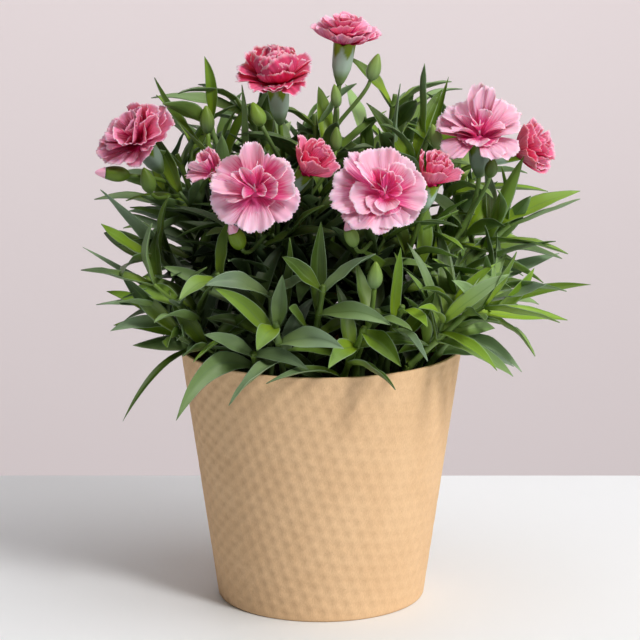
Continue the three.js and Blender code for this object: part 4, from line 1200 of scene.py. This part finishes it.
# A pale thread that arches out of the heart.
def addStyle(skin, mouth, facing, outward, radius):
    start = mouth + facing * 4
    rising = start + facing * 0.35 * radius
    leaning = start + facing * 0.5 * radius + outward * 0.2 * radius
    end = start + facing * 0.42 * radius + outward * 0.55 * radius
    line = bezier((start, rising, leaning, end), 12)
    addLoft(skin, tubeRings(line, np.linspace(0.4, 0.16, 12), 6), {"along": 1.0, "rim": 1.0})


# The cushion that closes the heart below the innermost petals, and the threads of a full bloom.
heart = {
    "heights": [-3.7, -1.7, 0, 1.2, 2.0, 2.8, 3.5],
    "radii": [2.7, 3.2, 3.7, 3.4, 2.2, 1.1, 0.3],
    "threads": (8, 292),
}


def buildBloom(place, mouth, facing, size, radius, seed):
    upward = np.array([0, 0.23, 0.97])  # as seen from the front
    across = unit(upward - np.dot(upward, facing) * facing)
    other = np.cross(across, facing)
    ruff, threads = ([petal["ruff"]], heart["threads"]) if size == 1 else ([], [])
    skin = newSkin(*petalMasks)
    for row, values in enumerate(petalRows[place] + ruff):
        turn, foot, edge, *shares, count = values + petalDefaults[len(values) - 7 :]
        length, width, cup, twist, layer, swirl, stainAndShade = [share / 100 for share in shares]
        for index in range(count):
            key = seed * 131 + row * 17 + index
            jitter = (scatter(key, 1) - 0.5) * (count > 1)
            rise = calyx["tooth"] * size * 0.6 + layer * petal["rise"] * size + 0.4 * jitter
            spec = {
                "turn": math.radians(turn + 360 * (index + 0.3 * jitter) / count),
                "foot": math.radians(foot),
                "edge": math.radians(edge + 0.01 + 10 * jitter),
                "length": radius * length * (1 - 0.1 * scatter(key, 4)),
                "width": radius * width * (0.92 + 0.16 * scatter(key, 5)),
                "start": (3 * size - 0.3) * (0.85 - 0.5 * layer),
                "rise": rise,
                "cup": cup * (0.8 + 0.4 * scatter(key, 6)),
                "twist": twist,
                "swirl": swirl,
                "layer": layer,
                "stainAndShade": stainAndShade,
            }
            addPetal(skin, (mouth, facing, across, other), spec, key)
    core = mouth + facing * (np.array(heart["heights"]) * size)[:, None]
    cushion = tubeRings(core, np.array(heart["radii"]) * size, 16)
    addLoft(skin, cushion, {"along": 0.1, "layer": 1.0, "tint": 0.5})
    for turn in threads:
        addStyle(skin, mouth, facing, turned(across, other, math.radians(turn)), radius)
    material = petalMaterials[bloomLooks.get(place, "blush")]
    finishPiece("bloom_" + place + "_petals", skin, material, ["bloom_" + place])


# Values that change along a green bud, and those of the pink tip that an opening one shows.
greenBud = {
    "along": lambda share: 0.5 - 0.3 * share,
    "youth": lambda share: 0.05 + 0.3 * share,
    "wax": lambda share: 0.15 - 0.12 * share,
    "stem": 1.0,
}
openingBud = {**greenBud, "youth": lambda share: 0.75 - 0.5 * share, "wax": 0.0}
pinkTip = {"along": lambda share: 0.3 + 0.6 * share, "rim": 0.5, "tint": 0.6}


# A bud on its own short branch off the stem's line. An opening one shows a pink tip.
def addSideBud(skin, line, bud, values, seed, tipName):
    share, tip, way, length, radius, isOpen = bud
    facing, tip = unit(way), np.array(tip, float)
    foot = tip - facing * length * budSeat
    spot = share * (len(line) - 1)
    before, after = line[int(spot) : int(spot) + 2]
    start = before + (after - before) * (spot - int(spot))
    reach = np.linalg.norm(foot - start) * 0.4
    leaving = start + unit(after - before) * reach * 0.5
    branch = bezier((start, leaving, foot - facing * reach * 0.7, foot), 14)
    addStem(skin, branch, 1.0, 0.1, [], seed)
    if not isOpen:
        addBud(skin, tip, facing, length, radius, 0, 1, {**greenBud, **values})
        return
    greenTo = 0.7
    addBud(skin, tip, facing, length, radius, 0, greenTo, {**openingBud, **values})
    pinkSkin = newSkin(*petalMasks)
    pinkFrom = greenTo + 0.3 / length
    addBud(pinkSkin, tip, facing, length, radius, pinkFrom, 1, pinkTip, 1.4, 0.09)
    finishPiece(tipName + "_petals", pinkSkin, petalMaterials["blush"], [tipName])


def buildFloweringStem(number, place):
    kind, root, at, facing, radius, shade = flowering[place]
    facing, at = unit(facing), np.array(at, float)
    budLength = radius * 3.8
    if kind == "bud":
        end = at - facing * budLength * budSeat
    else:
        size, sink = bloomKinds[kind]
        mouth = at - facing * radius * sink
        end = mouth - facing * calyx["length"] * size
    leaves = readLeaves(*readNode("flower_stem_" + place))
    line = stemLine(root, end, facing)
    whole = np.concatenate([[[*root, stem["deep"]]], line])
    feet = [leaf["foot"] for leaf in leaves]
    skin = newSkin(*foliageMasks)
    addStem(skin, whole, stem["radius"], stem["taper"], feet, number + 50)
    for index, leaf in enumerate(leaves):
        leaf["youth"] = 0.6 * scatter(number * 9 + index, 7)
        addLeaf(skin, leaf, 3000 + number * 40 + index)
    addTufts(skin, line[: int(0.8 * len(line))], number + 60)
    # Buds on a shaded stem get painted shade.
    budValues = {"tint": scatter(number, 15), "paintedShade": shade}
    if kind == "bud":
        addBud(skin, at, facing, budLength, radius, 0, 1, {**greenBud, **budValues})
    else:
        addCalyx(skin, mouth, facing, size, number, shade)
    for index, bud in enumerate(sideBuds.get(place, [])):
        tipName = f"bud_tip_{place}_{index + 1}"
        addSideBud(skin, line, bud, budValues, number + 70 + index, tipName)
    name = "flower_stem_" + place
    finishPiece(name + "_green", skin, foliage, [name])
    if kind != "bud":
        buildBloom(place, mouth, facing, size, radius, number + 1)


for number, place in enumerate(flowering):
    buildFloweringStem(number, place)
print("flowering stems built:", len(flowering))


# The stage: a pale table in front of a plain wall, each with its two close colours. Each light is
# [kind, power, colour, place, what it is aimed at, settings].
soft, sunSpread = (1, 0.96, 0.93), {"angle": math.radians(12)}
stage = {
    "table": [(0.84, 0.88, 0.92), (0.86, 0.9, 0.94)],
    "wall": [(0.92, 0.845, 0.89), (0.96, 0.885, 0.93)],
    "tableBack": 0.194,
    "wallAt": 2.6,
    "air": {"Color": (1, 0.93, 0.9, 1), "Strength": 0.055},
    "lights": {
        "key": ["SUN", 1.62, (1, 0.97, 0.93), (0.55, -0.64, 0.76), (0, 0, 0), sunSpread],
        "soft box": ["AREA", 18, soft, (1.5, -0.55, 1.3), (0, 0, 0.13), {"size": 1.7}],
        "top box": ["AREA", 13.5, soft, (0.1, -0.1, 1.8), (0.1, 0, 0), {"size": 1.6}],
        "wall box": ["AREA", 22, soft, (0, 1.0, 1.1), (0, 2.6, 0), {"size": 2.0}],
    },
    "lens": 177.2,
    "distance": 1.451,
    "target": (-0.0005, 0, 0.1302),
}


def stagePlane(name, corners, colours, roughness):
    material, tree, shader = newMaterial(name)
    colour = mixColour(tree, noise(tree, objectPlace(tree), 2.0, 2.0), *colours)
    setInputs(tree, shader, {"Base Color": colour, "Roughness": roughness})
    mesh = bpy.data.meshes.new(name)
    mesh.from_pydata(corners, [], [(0, 1, 2, 3)])
    mesh.materials.append(material)
    plane = bpy.data.objects.new(name, mesh)
    bpy.context.scene.collection.objects.link(plane)


back, wallAt = stage["tableBack"], stage["wallAt"]
stagePlane("table_top", [(-2, -2, 0), (2, -2, 0), (2, back, 0), (-2, back, 0)], stage["table"], 0.6)
wallCorners = [(-6, wallAt, -2), (6, wallAt, -2), (6, wallAt, 4), (-6, wallAt, 4)]
stagePlane("back_wall", wallCorners, stage["wall"], 0.9)

scene = bpy.context.scene
scene.view_settings.view_transform = "Standard"
world = bpy.data.worlds.new("studio")
world.use_nodes = True
setInputs(world.node_tree, world.node_tree.nodes["Background"], stage["air"])
scene.world = world


def aim(thing, place, target):
    direction = np.array(target) - np.array(place)
    flat = math.hypot(direction[0], direction[1])
    thing.location = place
    turn = math.atan2(-direction[0], direction[1])
    thing.rotation_euler = (math.atan2(flat, -direction[2]), 0, turn)


def addLight(name, kind, power, colour, place, target, settings):
    data = bpy.data.lights.new(name, kind)
    data.energy, data.color = power, colour
    for key, value in settings.items():
        setattr(data, key, value)
    light = bpy.data.objects.new(name, data)
    scene.collection.objects.link(light)
    aim(light, place, target)


for name, (kind, power, colour, place, target, settings) in stage["lights"].items():
    addLight(name, kind, power, colour, place, target, settings)

cameraData = bpy.data.cameras.new("camera")
cameraData.lens, cameraData.sensor_width = stage["lens"], 36
camera = bpy.data.objects.new("camera", cameraData)
scene.collection.objects.link(camera)
x, y, z = stage["target"]
away, above = math.cos(viewHeight) * stage["distance"], math.sin(viewHeight) * stage["distance"]
aim(camera, (x, y - away, z + above), stage["target"])
scene.camera = camera
print("stage, light and camera set")
